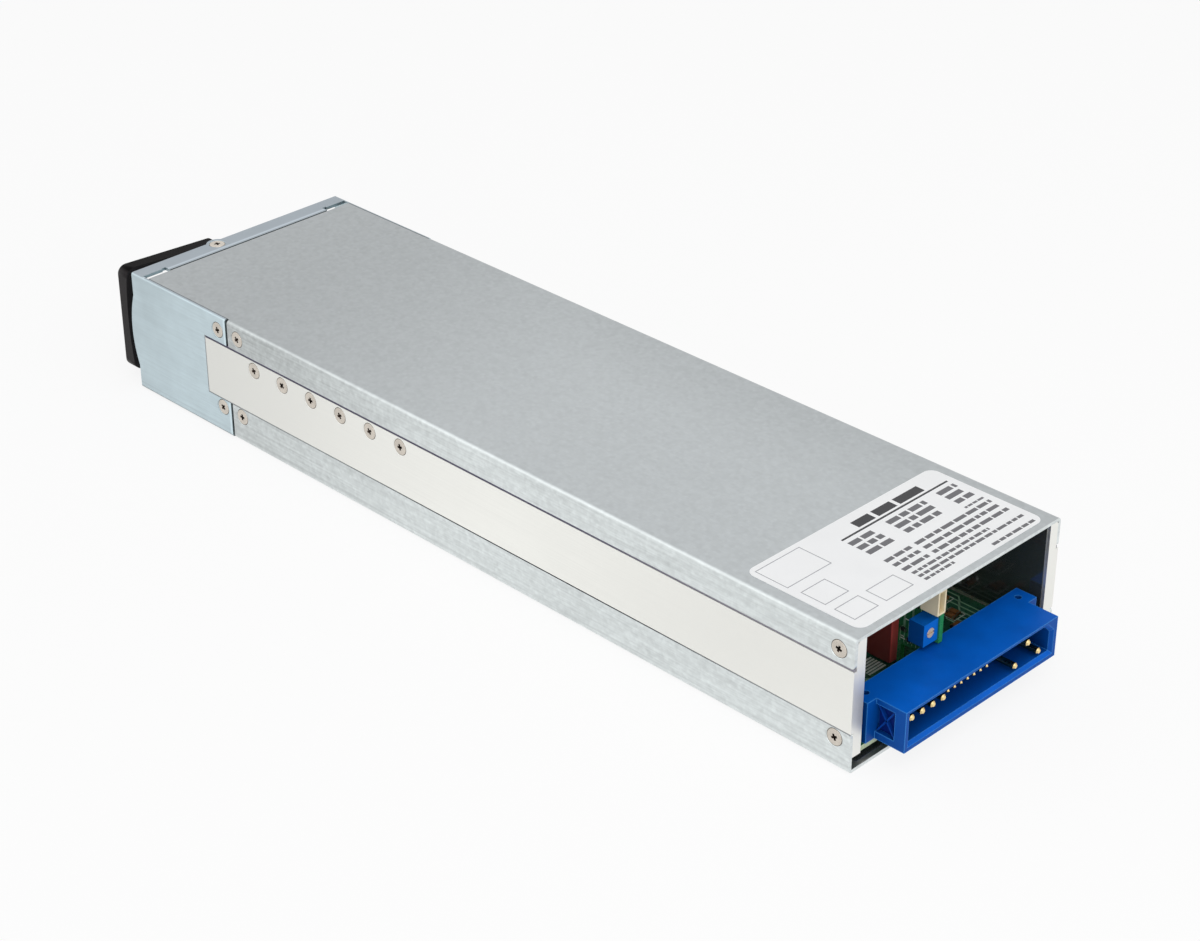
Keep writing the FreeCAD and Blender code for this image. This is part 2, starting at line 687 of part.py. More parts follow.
def make_front_cap():
    """Sleeve of bright sheet: rims, notched walls, tongues, ears and bowed edges."""
    body = new_body("front_cap_blank")
    rim = sketch_on(body, "XZ_Plane", -rim_rear)
    rectangle(rim, (-half_width, ZERO), (half_width, d.case_height))
    rectangle(rim, (-wall_inner, floor_top), (wall_inner, roof_under))
    pad(body, rim, d.rim_depth)
    walls = [
        ((wall_inner, ZERO), (half_width, d.case_height)),
        ((-half_width, ZERO), (-wall_inner, d.case_height)),
    ]
    along_y(body, walls, front, cap_rear)
    tongue = half_width - d.tongue_inset
    tongues = [((-tongue, roof_under), (tongue, d.case_height)), ((-tongue, ZERO), (tongue, floor_top))]
    along_y(body, tongues, front, panel_front - d.tongue_gap)
    reliefs = sketch_on(body, "XY_Plane")
    relief_front = rim_rear - d.relief_depth
    rectangle(reliefs, (tongue, relief_front), (tongue + d.relief_width, panel_front))
    rectangle(reliefs, (-(tongue + d.relief_width), relief_front), (-tongue, panel_front))
    pocket(body, reliefs, d.case_height, turned_over=True)
    notch = sketch_on(body, "YZ_Plane")
    rectangle(notch, (notch_front, d.floor_flange), (cap_rear + d.seam, roof_edge))
    pocket(body, notch, d.case_width + d.seam, middle=True)
    lip_low = mid_height - d.lip_height / 2
    lip_high = mid_height + d.lip_height / 2
    for level in (wall_inner, -half_width):
        lip = sketch_on(body, "YZ_Plane", level)
        bow(lip, (front, lip_low), (front - d.lip_reach, mid_height), (front, lip_high))
        pad(body, lip, d.sheet_thick)
    for level in (ZERO, roof_under):
        ear = sketch_on(body, "XY_Plane", level)
        circle(ear, (d.pivot_side, pivot_y), d.ear_radius)
        pad(body, ear, d.sheet_thick)
    folds = [{"x": x, "z": z} for x in (half_width, -half_width) for z in (ZERO, d.case_height)]
    round_edges(body, d.sheet_thick * 0.8, *folds)
    return cut("front_cap", body, cap_holes, pivot_holes)


def make_front_panel():
    """Recessed panel with side flanges, a honeycomb grille and light holes."""
    body = new_body("front_panel_blank")
    flange_end = panel_front + d.panel_flange
    flange_inner = wall_inner - d.sheet_thick
    outline = sketch_on(body, "XY_Plane", floor_top)
    polygon(outline, [
        (-wall_inner, panel_front),
        (wall_inner, panel_front),
        (wall_inner, flange_end),
        (flange_inner, flange_end),
        (flange_inner, panel_rear),
        (-flange_inner, panel_rear),
        (-flange_inner, flange_end),
        (-wall_inner, flange_end),
    ])
    pad(body, outline, roof_under - floor_top)
    folds = [{"x": x, "y": panel_front} for x in (wall_inner, -wall_inner)]
    round_edges(body, d.sheet_thick * 0.8, *folds)
    return cut("front_panel", body, make_grille_cutter(), fan_holes, make_light_holes())


def make_grille_cutter():
    """Hexagonal prisms on a triangular lattice that fits the grille's outline."""
    prism = doc.addObject("Part::Prism", "grille_hole")
    prism.Polygon = 6
    bind(prism, "Circumradius", d.hex_flat / math.sqrt(3))
    bind(prism, "Height", d.sheet_thick * 3)
    pitch = float(d.hex_flat + d.hex_web)
    limit = float(fan_bore - d.grille_inset - d.hex_flat / math.sqrt(3))
    rows = int(limit / pitch) + 1
    places = []
    for row in range(-rows, rows + 1):
        for column in range(-2 * rows, 2 * rows + 1):
            across = row * pitch * math.sqrt(3) / 2
            up = (column + row / 2) * pitch
            if math.hypot(across, up) <= limit:
                place_here = at(fan_x + across, panel_front - d.sheet_thick, mid_height + up)
                place_here.Rotation = FACING_REAR
                places.append(place_here)
    return copies("grille_cutter", prism, places)


def light_places():
    first = mid_height - d.light_pitch * ((STATUS_LIGHTS - 1) / 2)
    spots = [at(d.light_side, panel_front, first + d.light_pitch * step) for step in range(STATUS_LIGHTS)]
    for placement in spots:
        placement.Rotation = FACING_REAR
    return spots


def make_light_holes():
    radius = d.light_radius + d.screw_clearance
    reach = d.sheet_thick * 2
    profile = [(ZERO, -reach), (radius, -reach), (radius, reach), (ZERO, reach)]
    return copies("light_holes", turned("light_hole", profile), light_places())


def make_lights():
    """Light pipes with a domed lens on the panel's face."""
    dome = d.light_lens_depth / 2
    profile = [
        (ZERO, -d.light_lens_depth),
        (d.light_lens - dome, -d.light_lens_depth),
        (d.light_lens, -dome),
        (d.light_lens, ZERO),
        (d.light_radius, ZERO),
        (d.light_radius, d.light_length),
        (ZERO, d.light_length),
    ]
    return copies("status_light_pipes", turned("status_light", profile), light_places())


def make_label():
    side = half_width - d.label_margin
    low = (-side, rear - d.label_inset - d.label_length, d.case_height)
    high = (side, rear - d.label_inset, d.case_height + d.label_thick)
    body = block("rating_label", low, high)
    corners = [{"x": x, "y": y} for x in (low[0], high[0]) for y in (low[1], high[1])]
    round_edges(body, d.label_corner, *corners)
    return body


# Handle on its two pivot screws

def make_handle():
    """Moulded lever: two arms from the pivot bosses to a waisted grip."""
    body = new_body("handle_blank")
    low = floor_top + d.handle_drop
    high = roof_under - d.handle_drop
    outer = half_width - d.handle_inset
    grip_front = pivot_y - d.handle_front
    arm_end = grip_front + d.handle_lean
    left = d.pivot_side - d.boss_radius
    right = d.pivot_side + d.boss_radius
    grip_inner = outer - d.grip_width
    plan = sketch_on(body, "XY_Plane", low)
    polygon(plan, [
        (outer, grip_front),
        (outer, grip_front + d.arm_depth),
        (grip_inner, grip_front + d.arm_depth),
        (right, arm_end + d.arm_depth),
        (right, pivot_y),
        (left, pivot_y),
        (left, arm_end),
    ])
    pad(body, plan, high - low)
    window = sketch_on(body, "XZ_Plane", -pivot_y)
    reach = half_width + d.handle_front
    rectangle(window, (left - reach, low + d.arm_thick), (grip_inner, high - d.arm_thick))
    pocket(body, window, reach * 2, middle=True)
    waist = sketch_on(body, "YZ_Plane", grip_inner)
    back = grip_front + d.arm_depth
    waist_low = low + d.arm_thick
    waist_high = high - d.arm_thick
    bow(waist, (back, waist_low), (back - d.grip_waist, mid_height), (back, waist_high))
    pocket(body, waist, d.grip_width * 2, middle=True)
    boss_high = roof_under - d.boss_gap
    boss_low = floor_top + d.boss_gap
    for base, top in ((boss_low, low + d.arm_thick), (high - d.arm_thick, boss_high)):
        boss = sketch_on(body, "XY_Plane", base)
        circle(boss, (d.pivot_side, pivot_y), d.boss_radius)
        pad(body, boss, top - base)
    round_edges(body, d.handle_corner, {"x": outer, "z": low}, {"x": outer, "z": high})
    round_edges(body, d.handle_edge, {"x": left, "y": arm_end})
    bore = sketch_on(body, "XY_Plane", mid_height)
    circle(bore, (d.pivot_side, pivot_y), d.shank_radius + d.screw_clearance)
    pocket(body, bore, d.case_height, middle=True)
    body.Label = "handle"
    return body


# Fan behind the grille, drawn along Z from its front face and turned to face the front

def place_in_fan(thing):
    return place(thing, (fan_x, panel_rear, mid_height), FACING_REAR)


motor_front = d.fan_depth - d.motor_plate
tube_radius = d.bearing_radius + d.tube_wall


def make_fan_housing():
    """Square duct with motor plate, struts and bearing tube at its rear end."""
    body = new_body("fan_housing_blank")
    half = fan_size / 2
    duct = sketch_on(body, "XY_Plane")
    rectangle(duct, (-half, -half), (half, half))
    circle(duct, (ZERO, ZERO), fan_bore)
    pad(body, duct, d.fan_depth)
    round_edges(body, d.fan_corner, *[{"x": half * i, "y": half * j} for i in (-1, 1) for j in (-1, 1)])
    strut = sketch_on(body, "XY_Plane", motor_front)
    reach = fan_bore + d.tip_gap
    rectangle(strut, (-reach, -(d.strut_width / 2)), (reach, d.strut_width / 2))
    pad(body, strut, d.motor_plate)
    spokes = body.newObject("PartDesign::PolarPattern", "fan_struts")
    spokes.Originals = [body.Tip]
    spokes.Axis = (strut, ["N_Axis"])
    spokes.Angle = 180.0
    spokes.Occurrences = STRUT_BARS
    body.Tip = spokes
    plate = sketch_on(body, "XY_Plane", motor_front)
    circle(plate, (ZERO, ZERO), d.hub_radius)
    pad(body, plate, d.motor_plate)
    tube = sketch_on(body, "XY_Plane", motor_front - d.bearing_length)
    circle(tube, (ZERO, ZERO), tube_radius)
    pad(body, tube, d.bearing_length)
    bore = sketch_on(body, "XY_Plane", motor_front - d.bearing_length)
    circle(bore, (ZERO, ZERO), d.bearing_radius)
    pocket(body, bore, d.bearing_length, turned_over=True)
    return cut("fan_housing", place_in_fan(body), fan_holes)


def make_fan_bearing():
    start = motor_front - d.bearing_length
    bore = d.shaft_radius + d.shaft_clearance
    ring = [(bore, start), (d.bearing_radius, start), (d.bearing_radius, motor_front), (bore, motor_front)]
    return place_in_fan(turned("fan_bearing", ring))


def make_fan_stator():
    start = motor_front - d.bearing_length
    outer = d.hub_radius - d.hub_wall - d.stator_gap
    ring = [(tube_radius, start), (outer, start), (outer, motor_front), (tube_radius, motor_front)]
    return place_in_fan(turned("fan_stator", ring))


def make_fan_shaft():
    start = d.hub_start + d.hub_wall / 2
    end = motor_front - d.hub_wall
    rod = [(ZERO, start), (d.shaft_radius, start), (d.shaft_radius, end), (ZERO, end)]
    return place_in_fan(turned("fan_shaft", rod))


def blade_section(radius, sweep):
    """Cambered blade section on the plane at one radius from the axis."""
    nose = FreeCAD.Vector(radius, -sweep / 2, float(d.blade_start))
    tail = FreeCAD.Vector(radius, sweep / 2, float(d.blade_start + d.blade_chord))
    chord = (tail - nose).normalize()
    lift = X_AXIS.cross(chord)
    middle = (nose + tail) / 2 + lift * float(d.blade_camber)
    half = lift * float(d.blade_thick / 2)
    upper_side = Part.Arc(nose + half, middle + half, tail + half).toShape()
    lower_side = Part.Arc(tail - half, middle - half, nose - half).toShape()
    nose_edge = Part.LineSegment(nose - half, nose + half).toShape()
    tail_edge = Part.LineSegment(tail + half, tail - half).toShape()
    return Part.Wire([upper_side, tail_edge, lower_side, nose_edge])


def make_blades():
    """Blades lofted from the hub wall past the tips, then trimmed to the duct."""
    root = float(d.hub_radius - d.hub_wall / 2)
    tip = float(fan_bore - d.tip_gap)
    sweep = float(d.blade_sweep)
    sections = [blade_section(root, sweep * root / tip), blade_section(tip * 1.1, sweep)]
    blade = Part.makeLoft(sections, True, True)
    blade = blade.common(Part.makeCylinder(tip, float(d.fan_depth)))
    ring = []
    for step in range(BLADES):
        one = blade.copy()
        one.rotate(FreeCAD.Vector(), Z_AXIS, 360.0 * step / BLADES)
        ring.append(one)
    blades = doc.addObject("Part::Feature", "fan_blades")
    blades.Shape = Part.makeCompound(ring)
    return place_in_fan(blades)


def make_fan_impeller():
    """Hub cup, turned, with its lofted blades."""
    start = d.hub_start
    inside = d.hub_radius - d.hub_wall
    face = start + d.hub_wall
    rim = motor_front - d.hub_gap
    edge = d.hub_wall / 2
    cup = turned("fan_hub", [
        (d.shaft_radius, start + d.hub_wall / 2),
        (ZERO, start + d.hub_wall / 2),
        (ZERO, start),
        (d.hub_radius - edge, start),
        (d.hub_radius, start + edge),
        (d.hub_radius, rim),
        (inside, rim),
        (inside, face),
        (d.shaft_radius, face),
    ])
    return fused("fan_impeller", place_in_fan(cup), make_blades())


# Boards, films, standoffs

standoff_x = bar_inner - d.standoff_inset
standoff_rows = (front + d.standoff_first, along(STANDOFF_SHARE), rear - d.standoff_last)
standoff_places = [at(standoff_x * side, y, 0) for side in (1, -1) for y in standoff_rows]


def post_cutter(name, radius):
    """Upright cylinders at the standoffs, to cut their holes."""
    rod = turned(f"{name}_one", [(ZERO, ZERO), (radius, ZERO), (radius, d.case_height), (ZERO, d.case_height)])
    return copies(name, rod, standoff_places)


def make_standoffs():
    bore = d.board_shank + d.screw_clearance
    blind = board_under - d.board_screw_reach - d.screw_clearance
    post = turned("standoff", [
        (ZERO, floor_top),
        (d.standoff_radius, floor_top),
        (d.standoff_radius, board_under),
        (bore, board_under),
        (bore, blind),
        (ZERO, blind),
    ])
    return copies("board_standoffs", post, standoff_places)


def make_board_screws():
    top = board_top + d.board_head_height
    edge = d.board_head_height / 2
    tip = board_under - d.board_screw_reach
    screw = turned("board_screw", [
        (ZERO, top),
        (d.board_head_radius - edge, top),
        (d.board_head_radius, top - edge),
        (d.board_head_radius, board_top),
        (d.board_shank, board_top),
        (d.board_shank, tip),
        (ZERO, tip),
    ])
    return copies("board_screws", screw, standoff_places)


def make_main_board():
    low = (-board_side, board_start, board_under)
    plate = block("main_board_blank", low, (board_side, board_end, board_top))
    holes = post_cutter("board_holes", d.board_shank + d.screw_clearance)
    return cut("main_board", plate, holes, connector_screw_holes)


def make_floor_film():
    low = (-board_side, board_start, floor_top)
    high = (board_side, board_end - d.film_margin, floor_top + d.film_thick)
    return cut("floor_film", block("floor_film_blank", low, high), post_cutter("film_holes", d.film_hole))


def make_side_film():
    low = (-bar_inner, front + d.film_start, board_top + d.film_margin)
    high = (-bar_inner + d.film_thick, rear - d.film_margin, roof_under - d.film_margin)
    return block("side_film", low, high)


# Rear connector

half_ears = bar_inner - d.plug_gap
half_shroud = half_ears - d.ear_width
plug_rear = rear - d.plug_inset
plug_front = plug_rear - d.plug_depth
plug_top = board_top + d.plug_height
shroud_end = plug_rear + d.shroud_reach
cavity_floor = plug_rear + d.shroud_floor
pin_end = shroud_end - d.pin_tip
upper_row = board_top + d.plug_height / 2 + d.pin_row_pitch / 2
lower_row = upper_row - d.pin_row_pitch
connector_screw_places = [
    at(d.plug_side + (half_ears - d.plug_screw_inset) * side, rear - d.plug_screw_back, 0) for side in (1, -1)
]


def connector_screw_profile():
    """Pan-headed screw from under the board up into an ear."""
    head_low = board_under - d.board_head_height
    edge = d.board_head_height / 2
    tip = board_top + d.plug_screw_reach
    return [
        (ZERO, head_low),
        (d.board_head_radius - edge, head_low),
        (d.board_head_radius, head_low + edge),
        (d.board_head_radius, board_under),
        (d.board_shank, board_under),
        (d.board_shank, tip),
        (ZERO, tip),
    ]


def connector_hole_profile():
    """Hole for the screw, with the narrower open end in the ear's top."""
    wide = d.board_shank + d.screw_clearance
    low = board_under - d.board_thick
    step = board_top + d.plug_screw_reach + d.screw_clearance
    high = plug_top + d.board_thick
    return [(ZERO, low), (wide, low), (wide, step), (d.ear_hole, step), (d.ear_hole, high), (ZERO, high)]


connector_screws = copies(
    "connector_screws", turned("connector_screw", connector_screw_profile()), connector_screw_places
)
connector_screw_holes = copies(
    "connector_screw_holes",
    turned("connector_screw_hole", connector_hole_profile()),
    connector_screw_places,
)


def pin_profile(radius, short):
    """Pin drawn along Z from the bottom of its hole to a rounded tip."""
    end = pin_end - cavity_floor + d.pin_seat - short
    return [(ZERO, ZERO), (radius, ZERO), (radius, end - d.pin_dome), (radius - d.pin_dome, end), (ZERO, end)]


def pin_places(spots):
    places = [at(x, cavity_floor - d.pin_seat, z) for x, z in spots]
    for placement in places:
        placement.Rotation = FACING_REAR
    return places


def pins_and_holes(name, radius, spots, short=ZERO):
    depth = d.pin_seat + d.shroud_floor
    wide = radius + d.pin_fit
    hole = turned(f"{name}_hole", [(ZERO, -d.pin_fit), (wide, -d.pin_fit), (wide, depth), (ZERO, depth)])
    pins = copies(name, turned(f"{name}_one", pin_profile(radius, short)), pin_places(spots))
    return pins, copies(f"{name}_holes", hole, pin_places(spots))


power_first = d.plug_side + half_shroud - d.power_inset
mains_x = d.plug_side - half_shroud + d.mains_inset
signal_first = power_first - d.power_pitch * (POWER_PINS - 1) - d.signal_gap
power_spots = [(power_first - d.power_pitch * step, upper_row) for step in range(POWER_PINS)]
mains_spots = [
    (mains_x + d.mains_pitch, lower_row),
    (mains_x, upper_row),
    (mains_x - d.mains_pitch, lower_row),
]
signal_spots = [(signal_first - d.signal_pitch * step, upper_row) for step in range(SIGNAL_PINS)]
power_pins, power_holes = pins_and_holes("power_pins", d.power_radius, power_spots + mains_spots)
signal_pins, signal_holes = pins_and_holes("signal_pins", d.signal_radius, signal_spots, d.signal_short)


def is_mouth_edge(edge):
    """True for an edge around the shroud's mouth, inside its outer edges."""
    reach = max(abs(vertex.X - float(d.plug_side)) for vertex in edge.Vertexes)
    return lies_at(edge, y=shroud_end) and reach < float(half_shroud) - 1e-4


def make_connector_housing():
    """Moulded body with screw ears and a keyed shroud that is cored at its ends."""
    body = new_body("connector_housing_blank")
    middle = d.plug_side
    ears = ((middle - half_ears, board_top), (middle + half_ears, plug_top))
    shroud = ((middle - half_shroud, board_top), (middle + half_shroud, plug_top))
    along_y(body, [ears], plug_front, plug_rear)
    along_y(body, [shroud], plug_rear, shroud_end)
    cavity = sketch_on(body, "XZ_Plane", -shroud_end)
    inner = half_shroud - d.shroud_wall
    mouth_low = board_top + d.shroud_wall
    mouth_high = plug_top - d.shroud_roof
    polygon(cavity, [
        (middle - inner, mouth_low),
        (middle + inner, mouth_low),
        (middle + inner, mouth_high),
        (middle - inner + d.shroud_key, mouth_high),
        (middle - inner, mouth_high - d.shroud_key),
    ])
    pocket(body, cavity, shroud_end - cavity_floor, turned_over=True)
    work_edges(body, "Chamfer", "Size", d.mouth_chamfer, is_mouth_edge)
    coring = sketch_on(body, "XY_Plane", board_top + d.shroud_wall)
    for side in (1, -1):
        rectangle(
            coring,
            (middle + (half_shroud - d.core_cut) * side, plug_rear),
            (middle + (half_shroud + d.core_cut) * side, plug_rear + d.core_depth),
        )
    pocket(body, coring, d.plug_height - d.shroud_wall - d.shroud_roof, turned_over=True)
    return cut("connector_housing", body, connector_screw_holes, power_holes, signal_holes)


# Upright control board with its header and trimmer

control_rear = rear - d.control_back
control_face = d.control_side + d.control_thick
control_high = roof_under - d.control_top


def make_control_board():
    """Upright board on two legs, stepped over the connector's body."""
    body = new_body("control_board")
    outline = sketch_on(body, "YZ_Plane", d.control_side)
    step = plug_front - d.control_gap
    control_front = control_rear - d.control_length
    control_low = board_top + d.control_lift
    polygon(outline, [
        (control_front, board_top),
        (control_front + d.control_toe, board_top),
        (control_front + d.control_toe, control_low),
        (step - d.control_leg, control_low),
        (step - d.control_leg, board_top),
        (step, board_top),
        (step, plug_top + d.control_gap),
        (control_rear, plug_top + d.control_gap),
        (control_rear, control_high),
        (control_front, control_high),
    ])
    pad(body, outline, d.control_thick)
    return body


trimmer_rear = control_rear - d.trimmer_back
trimmer_x = control_face + d.trimmer_width / 2
trimmer_low = plug_top + d.trimmer_lift
trimmer_z = trimmer_low + d.trimmer_height / 2


def trimmer_screw_profile(grow):
    """Screw drawn along Z towards its head, which is flush with the face."""
    seat = -(d.trimmer_head_depth + grow)
    tip = seat - d.trimmer_shank_depth
    return [
        (ZERO, tip),
        (d.trimmer_shank + grow, tip),
        (d.trimmer_shank + grow, seat),
        (d.trimmer_head + grow, seat),
        (d.trimmer_head + grow, ZERO),
        (ZERO, ZERO),
    ]


def place_in_trimmer(thing):
    return place(thing, (trimmer_x, trimmer_rear, trimmer_z), FACING_REAR)


def make_trimmer_body():
    low = (control_face, trimmer_rear - d.trimmer_depth, trimmer_low)
    high = (control_face + d.trimmer_width, trimmer_rear, trimmer_low + d.trimmer_height)
    case = block("trimmer_case", low, high)
    well = turned("trimmer_well", trimmer_screw_profile(d.trimmer_clearance))
    return cut("trimmer_body", case, place_in_trimmer(well))


def make_trimmer_screw():
    screw = turned("trimmer_screw_blank", trimmer_screw_profile(ZERO))
    slot = sketch_on(screw, "XY_Plane")
    reach = d.trimmer_head * 2
    rectangle(slot, (-reach, -(d.trimmer_slot / 2)), (reach, d.trimmer_slot / 2))
    pocket(screw, slot, d.trimmer_slot)
    screw.Label = "trimmer_screw"
    return place_in_trimmer(screw)


def make_header():
    """Cream wafer with an open mating face at the control board's edge."""
    body = new_body("board_header")
    mouth = control_rear + d.header_overhang
    high = (control_face + d.header_width, control_high - d.header_drop)
    low = (control_face, trimmer_low + d.trimmer_height + d.header_gap)
    along_y(body, [(low, high)], mouth - d.header_depth, mouth)
    cavity = sketch_on(body, "XZ_Plane", -mouth)
    wall = d.header_wall
    rectangle(cavity, (low[0] + wall, low[1] + wall), (high[0] - wall, high[1] - wall))
    pocket(body, cavity, d.header_cavity, turned_over=True)
    return body


# Parts on the main board

def board_block(name, left, start, size):
    """Moulded part standing on the board, from its left and front faces."""
    width, length, height = size
    low = (left, start, board_top)
    return block(name, low, (left + width, start + length, board_top + height), d.part_radius)


def make_film_capacitor():
    """Film capacitor in a dipped coat, rounded on every edge."""
    left = -d.film_cap_side
    end = rear - d.film_cap_back
    low = (left, end - d.film_cap_length, board_top)
    high = (left + d.film_cap_width, end, board_top + d.film_cap_height)
    return block("film_capacitor", low, high, d.film_cap_round, foot=True)


def make_blocks():
    box_size = (d.box_cap_width, d.box_cap_length, d.box_cap_height)
    relay_size = (d.relay_width, d.relay_length, d.relay_height)
    bridge_size = (d.bridge_width, d.bridge_depth, d.bridge_height)
    box_start = along(FILTER_SHARE) - d.box_cap_length / 2
    box_left = bar_inner - d.box_cap_margin - d.box_cap_width
    relay_start = along(RELAY_SHARE) - d.relay_length / 2
    relay_left = bar_inner - d.relay_margin - d.relay_width
    return [
        make_film_capacitor(),
        board_block("suppression_capacitor", box_left, box_start, box_size),
        board_block("relay", relay_left, relay_start, relay_size),
        board_block("bridge_rectifier", d.bridge_side, board_start + d.bridge_back, bridge_size),
    ]


def make_cans(name, radius, height, places):
    """Electrolytic capacitors: cans with a crimped groove and rounded top."""
    groove = radius - d.can_groove
    edge = d.can_groove
    low = board_top + d.can_rim
    top = board_top + height
    can = turned(f"{name}_one", [
        (ZERO, board_top),
        (radius, board_top),
        (radius, low),
        (groove, low + edge),
        (radius, low + edge * 2),
        (radius, top - edge),
        (radius - edge, top),
        (ZERO, top),
    ])
    return copies(name, can, places)


def make_capacitors():
    bulk_radius = (bar_inner - d.bulk_margin - d.bulk_gap) / BULK_CAPACITORS
    bulk_pitch = bulk_radius * 2 + d.bulk_gap
    bulk_height = roof_under - d.bulk_drop - board_top
    bulk_x = [bulk_pitch * (step - (BULK_CAPACITORS - 1) / 2) for step in range(BULK_CAPACITORS)]
    output_x = -(bar_inner - d.output_margin)
    output_spots = [
        at(output_x + d.output_pitch * column, along(OUTPUT_SHARE) + d.output_pitch * line, 0)
        for line in range(OUTPUT_ROWS)
        for column in range(OUTPUT_COLUMNS)
    ]
    bulk_spots = [at(x, along(BULK_SHARE), 0) for x in bulk_x]
    bulk = make_cans("bulk_capacitors", bulk_radius, bulk_height, bulk_spots)
    return [bulk, make_cans("output_capacitors", d.output_radius, d.output_height, output_spots)]


def make_ring_coil(name, x, y, inner, outer, height):
    """Ring core lying on the board inside two windings."""
    base = board_top + d.wind_thick
    top = base + height
    core = turned(f"{name}_core", [(inner, base), (outer, base), (outer, top), (inner, top)])
    place(core, (x, y, ZERO))
    fit = d.wind_fit
    shell = turned(f"{name}_shell", [
        (inner - d.wind_thick, board_top),
        (outer + d.wind_thick, board_top),
        (outer + d.wind_thick, top + d.wind_thick),
        (inner - d.wind_thick, top + d.wind_thick),
    ], WINDING_ANGLE)
    room = turned(f"{name}_room", [
        (inner - fit, base - fit),
        (outer + fit, base - fit),
        (outer + fit, top + fit),
        (inner - fit, top + fit),
    ])
    half = cut(f"{name}_half", shell, room)
    turns = [
        FreeCAD.Placement(
            FreeCAD.Vector(float(x), float(y), 0), FreeCAD.Rotation(Z_AXIS, 360.0 * step / WINDINGS)
        )
        for step in range(WINDINGS)
    ]
    return [core, copies(f"{name}_winding", half, turns)]


def make_transformer():
    """Core with two windows and a winding round its middle leg."""
    x = d.core_side
    y = along(CORE_SHARE)
    half_leg = d.core_leg / 2
    half_core = d.core_width / 2
    window_low = board_top + d.core_yoke
    window_high = board_top + d.core_height - d.core_yoke
    core = new_body("transformer_core")
    face = sketch_on(core, "XZ_Plane", -(y + d.core_length / 2))
    rectangle(face, (x - half_core, board_top), (x + half_core, board_top + d.core_height))
    for side in (1, -1):
        near = x + half_leg * side
        far = x + (half_core - d.core_yoke) * side
        rectangle(face, (near, window_low), (far, window_high))
    pad(core, face, d.core_length)
    winding = new_body("transformer_winding")
    plan = sketch_on(winding, "XY_Plane", window_low + d.bobbin_gap)
    wide = half_core - d.core_yoke - d.bobbin_gap
    deep = d.core_length / 2 + wide - half_leg
    rectangle(plan, (x - wide, y - deep), (x + wide, y + deep))
    slim = half_leg + d.bobbin_gap
    short = d.core_length / 2 + d.bobbin_gap
    rectangle(plan, (x - slim, y - short), (x + slim, y + short))
    pad(winding, plan, window_high - window_low - d.bobbin_gap * 2)
    corners = [{"x": x + wide * i, "y": y + deep * j} for i in (1, -1) for j in (1, -1)]
    round_edges(winding, d.part_radius * 3, *corners)
    return [core, winding]


def make_fuse():
    """Fuse with end caps, lying along Y on the board."""
    ends = d.fuse_length - d.fuse_cap_length
    fuse = turned("input_fuse", [
        (ZERO, ZERO),
        (d.fuse_cap_radius, ZERO),
        (d.fuse_cap_radius, d.fuse_cap_length),
        (d.fuse_radius, d.fuse_cap_length),
        (d.fuse_radius, ends),
        (d.fuse_cap_radius, ends),
        (d.fuse_cap_radius, d.fuse_length),
        (ZERO, d.fuse_length),
    ])
    start = along(FILTER_SHARE) - d.fuse_length / 2
    return place(fuse, (d.fuse_side, start, board_top + d.fuse_cap_radius), FACING_REAR)


# Transistors clamped to the side bars, drawn for the right bar at the middle of Y

device_top = sink_level + d.device_head
device_shoulder = device_top - d.device_tab_height
device_foot = device_shoulder - d.device_body


def make_device():
    """Flat transistor: tab, moulded body and three legs down to the board."""
    body = new_body("transistor_one")
    half = d.device_width / 2
    tab = sketch_on(body, "YZ_Plane", bar_inner - d.device_tab)
    rectangle(tab, (-half, device_foot), (half, device_top))
    pad(body, tab, d.device_tab)
    case = sketch_on(body, "YZ_Plane", bar_inner - d.device_thick)
    rectangle(case, (-half, device_foot), (half, device_shoulder))
    pad(body, case, d.device_thick)
    legs = sketch_on(body, "YZ_Plane", bar_inner - d.device_thick / 2)
    for step in (-1, 0, 1):
        middle = d.leg_pitch * step
        rectangle(legs, (middle - d.leg_width / 2, board_top), (middle + d.leg_width / 2, device_foot))
    pad(body, legs, d.leg_thick)
    return body


def make_clamp(name, side):
    """Steel strip that holds a row of transistors against its bar."""
    outer = bar_inner - d.device_tab
    inner = outer - d.clamp_thick
    low_z = sink_level - d.clamp_height / 2
    half = d.device_width / 2
    start = sink_rows[0] - half
    end = sink_rows[-1] + half
    x_low, x_high = (inner, outer) if side > 0 else (-outer, -inner)
    strip = block(f"{name}_blank", (x_low, start, low_z), (x_high, end, low_z + d.clamp_height))
    return cut(name, strip, sink_holes)


def make_devices():
    """A row of transistors and a clamp strip on each side bar."""
    device = make_device()
    nodes = []
    for name, side in (("right", 1), ("left", -1)):
        turn = FreeCAD.Rotation(Z_AXIS, 0 if side > 0 else 180)
        rows = [FreeCAD.Placement(FreeCAD.Vector(0, float(y), 0), turn) for y in sink_rows]
        row_of_devices = copies(f"transistors_{name}_blank", device, rows)
        nodes.append(cut(f"power_transistors_{name}", row_of_devices, sink_holes))
        nodes.append(make_clamp(f"clamp_strip_{name}", side))
    return nodes


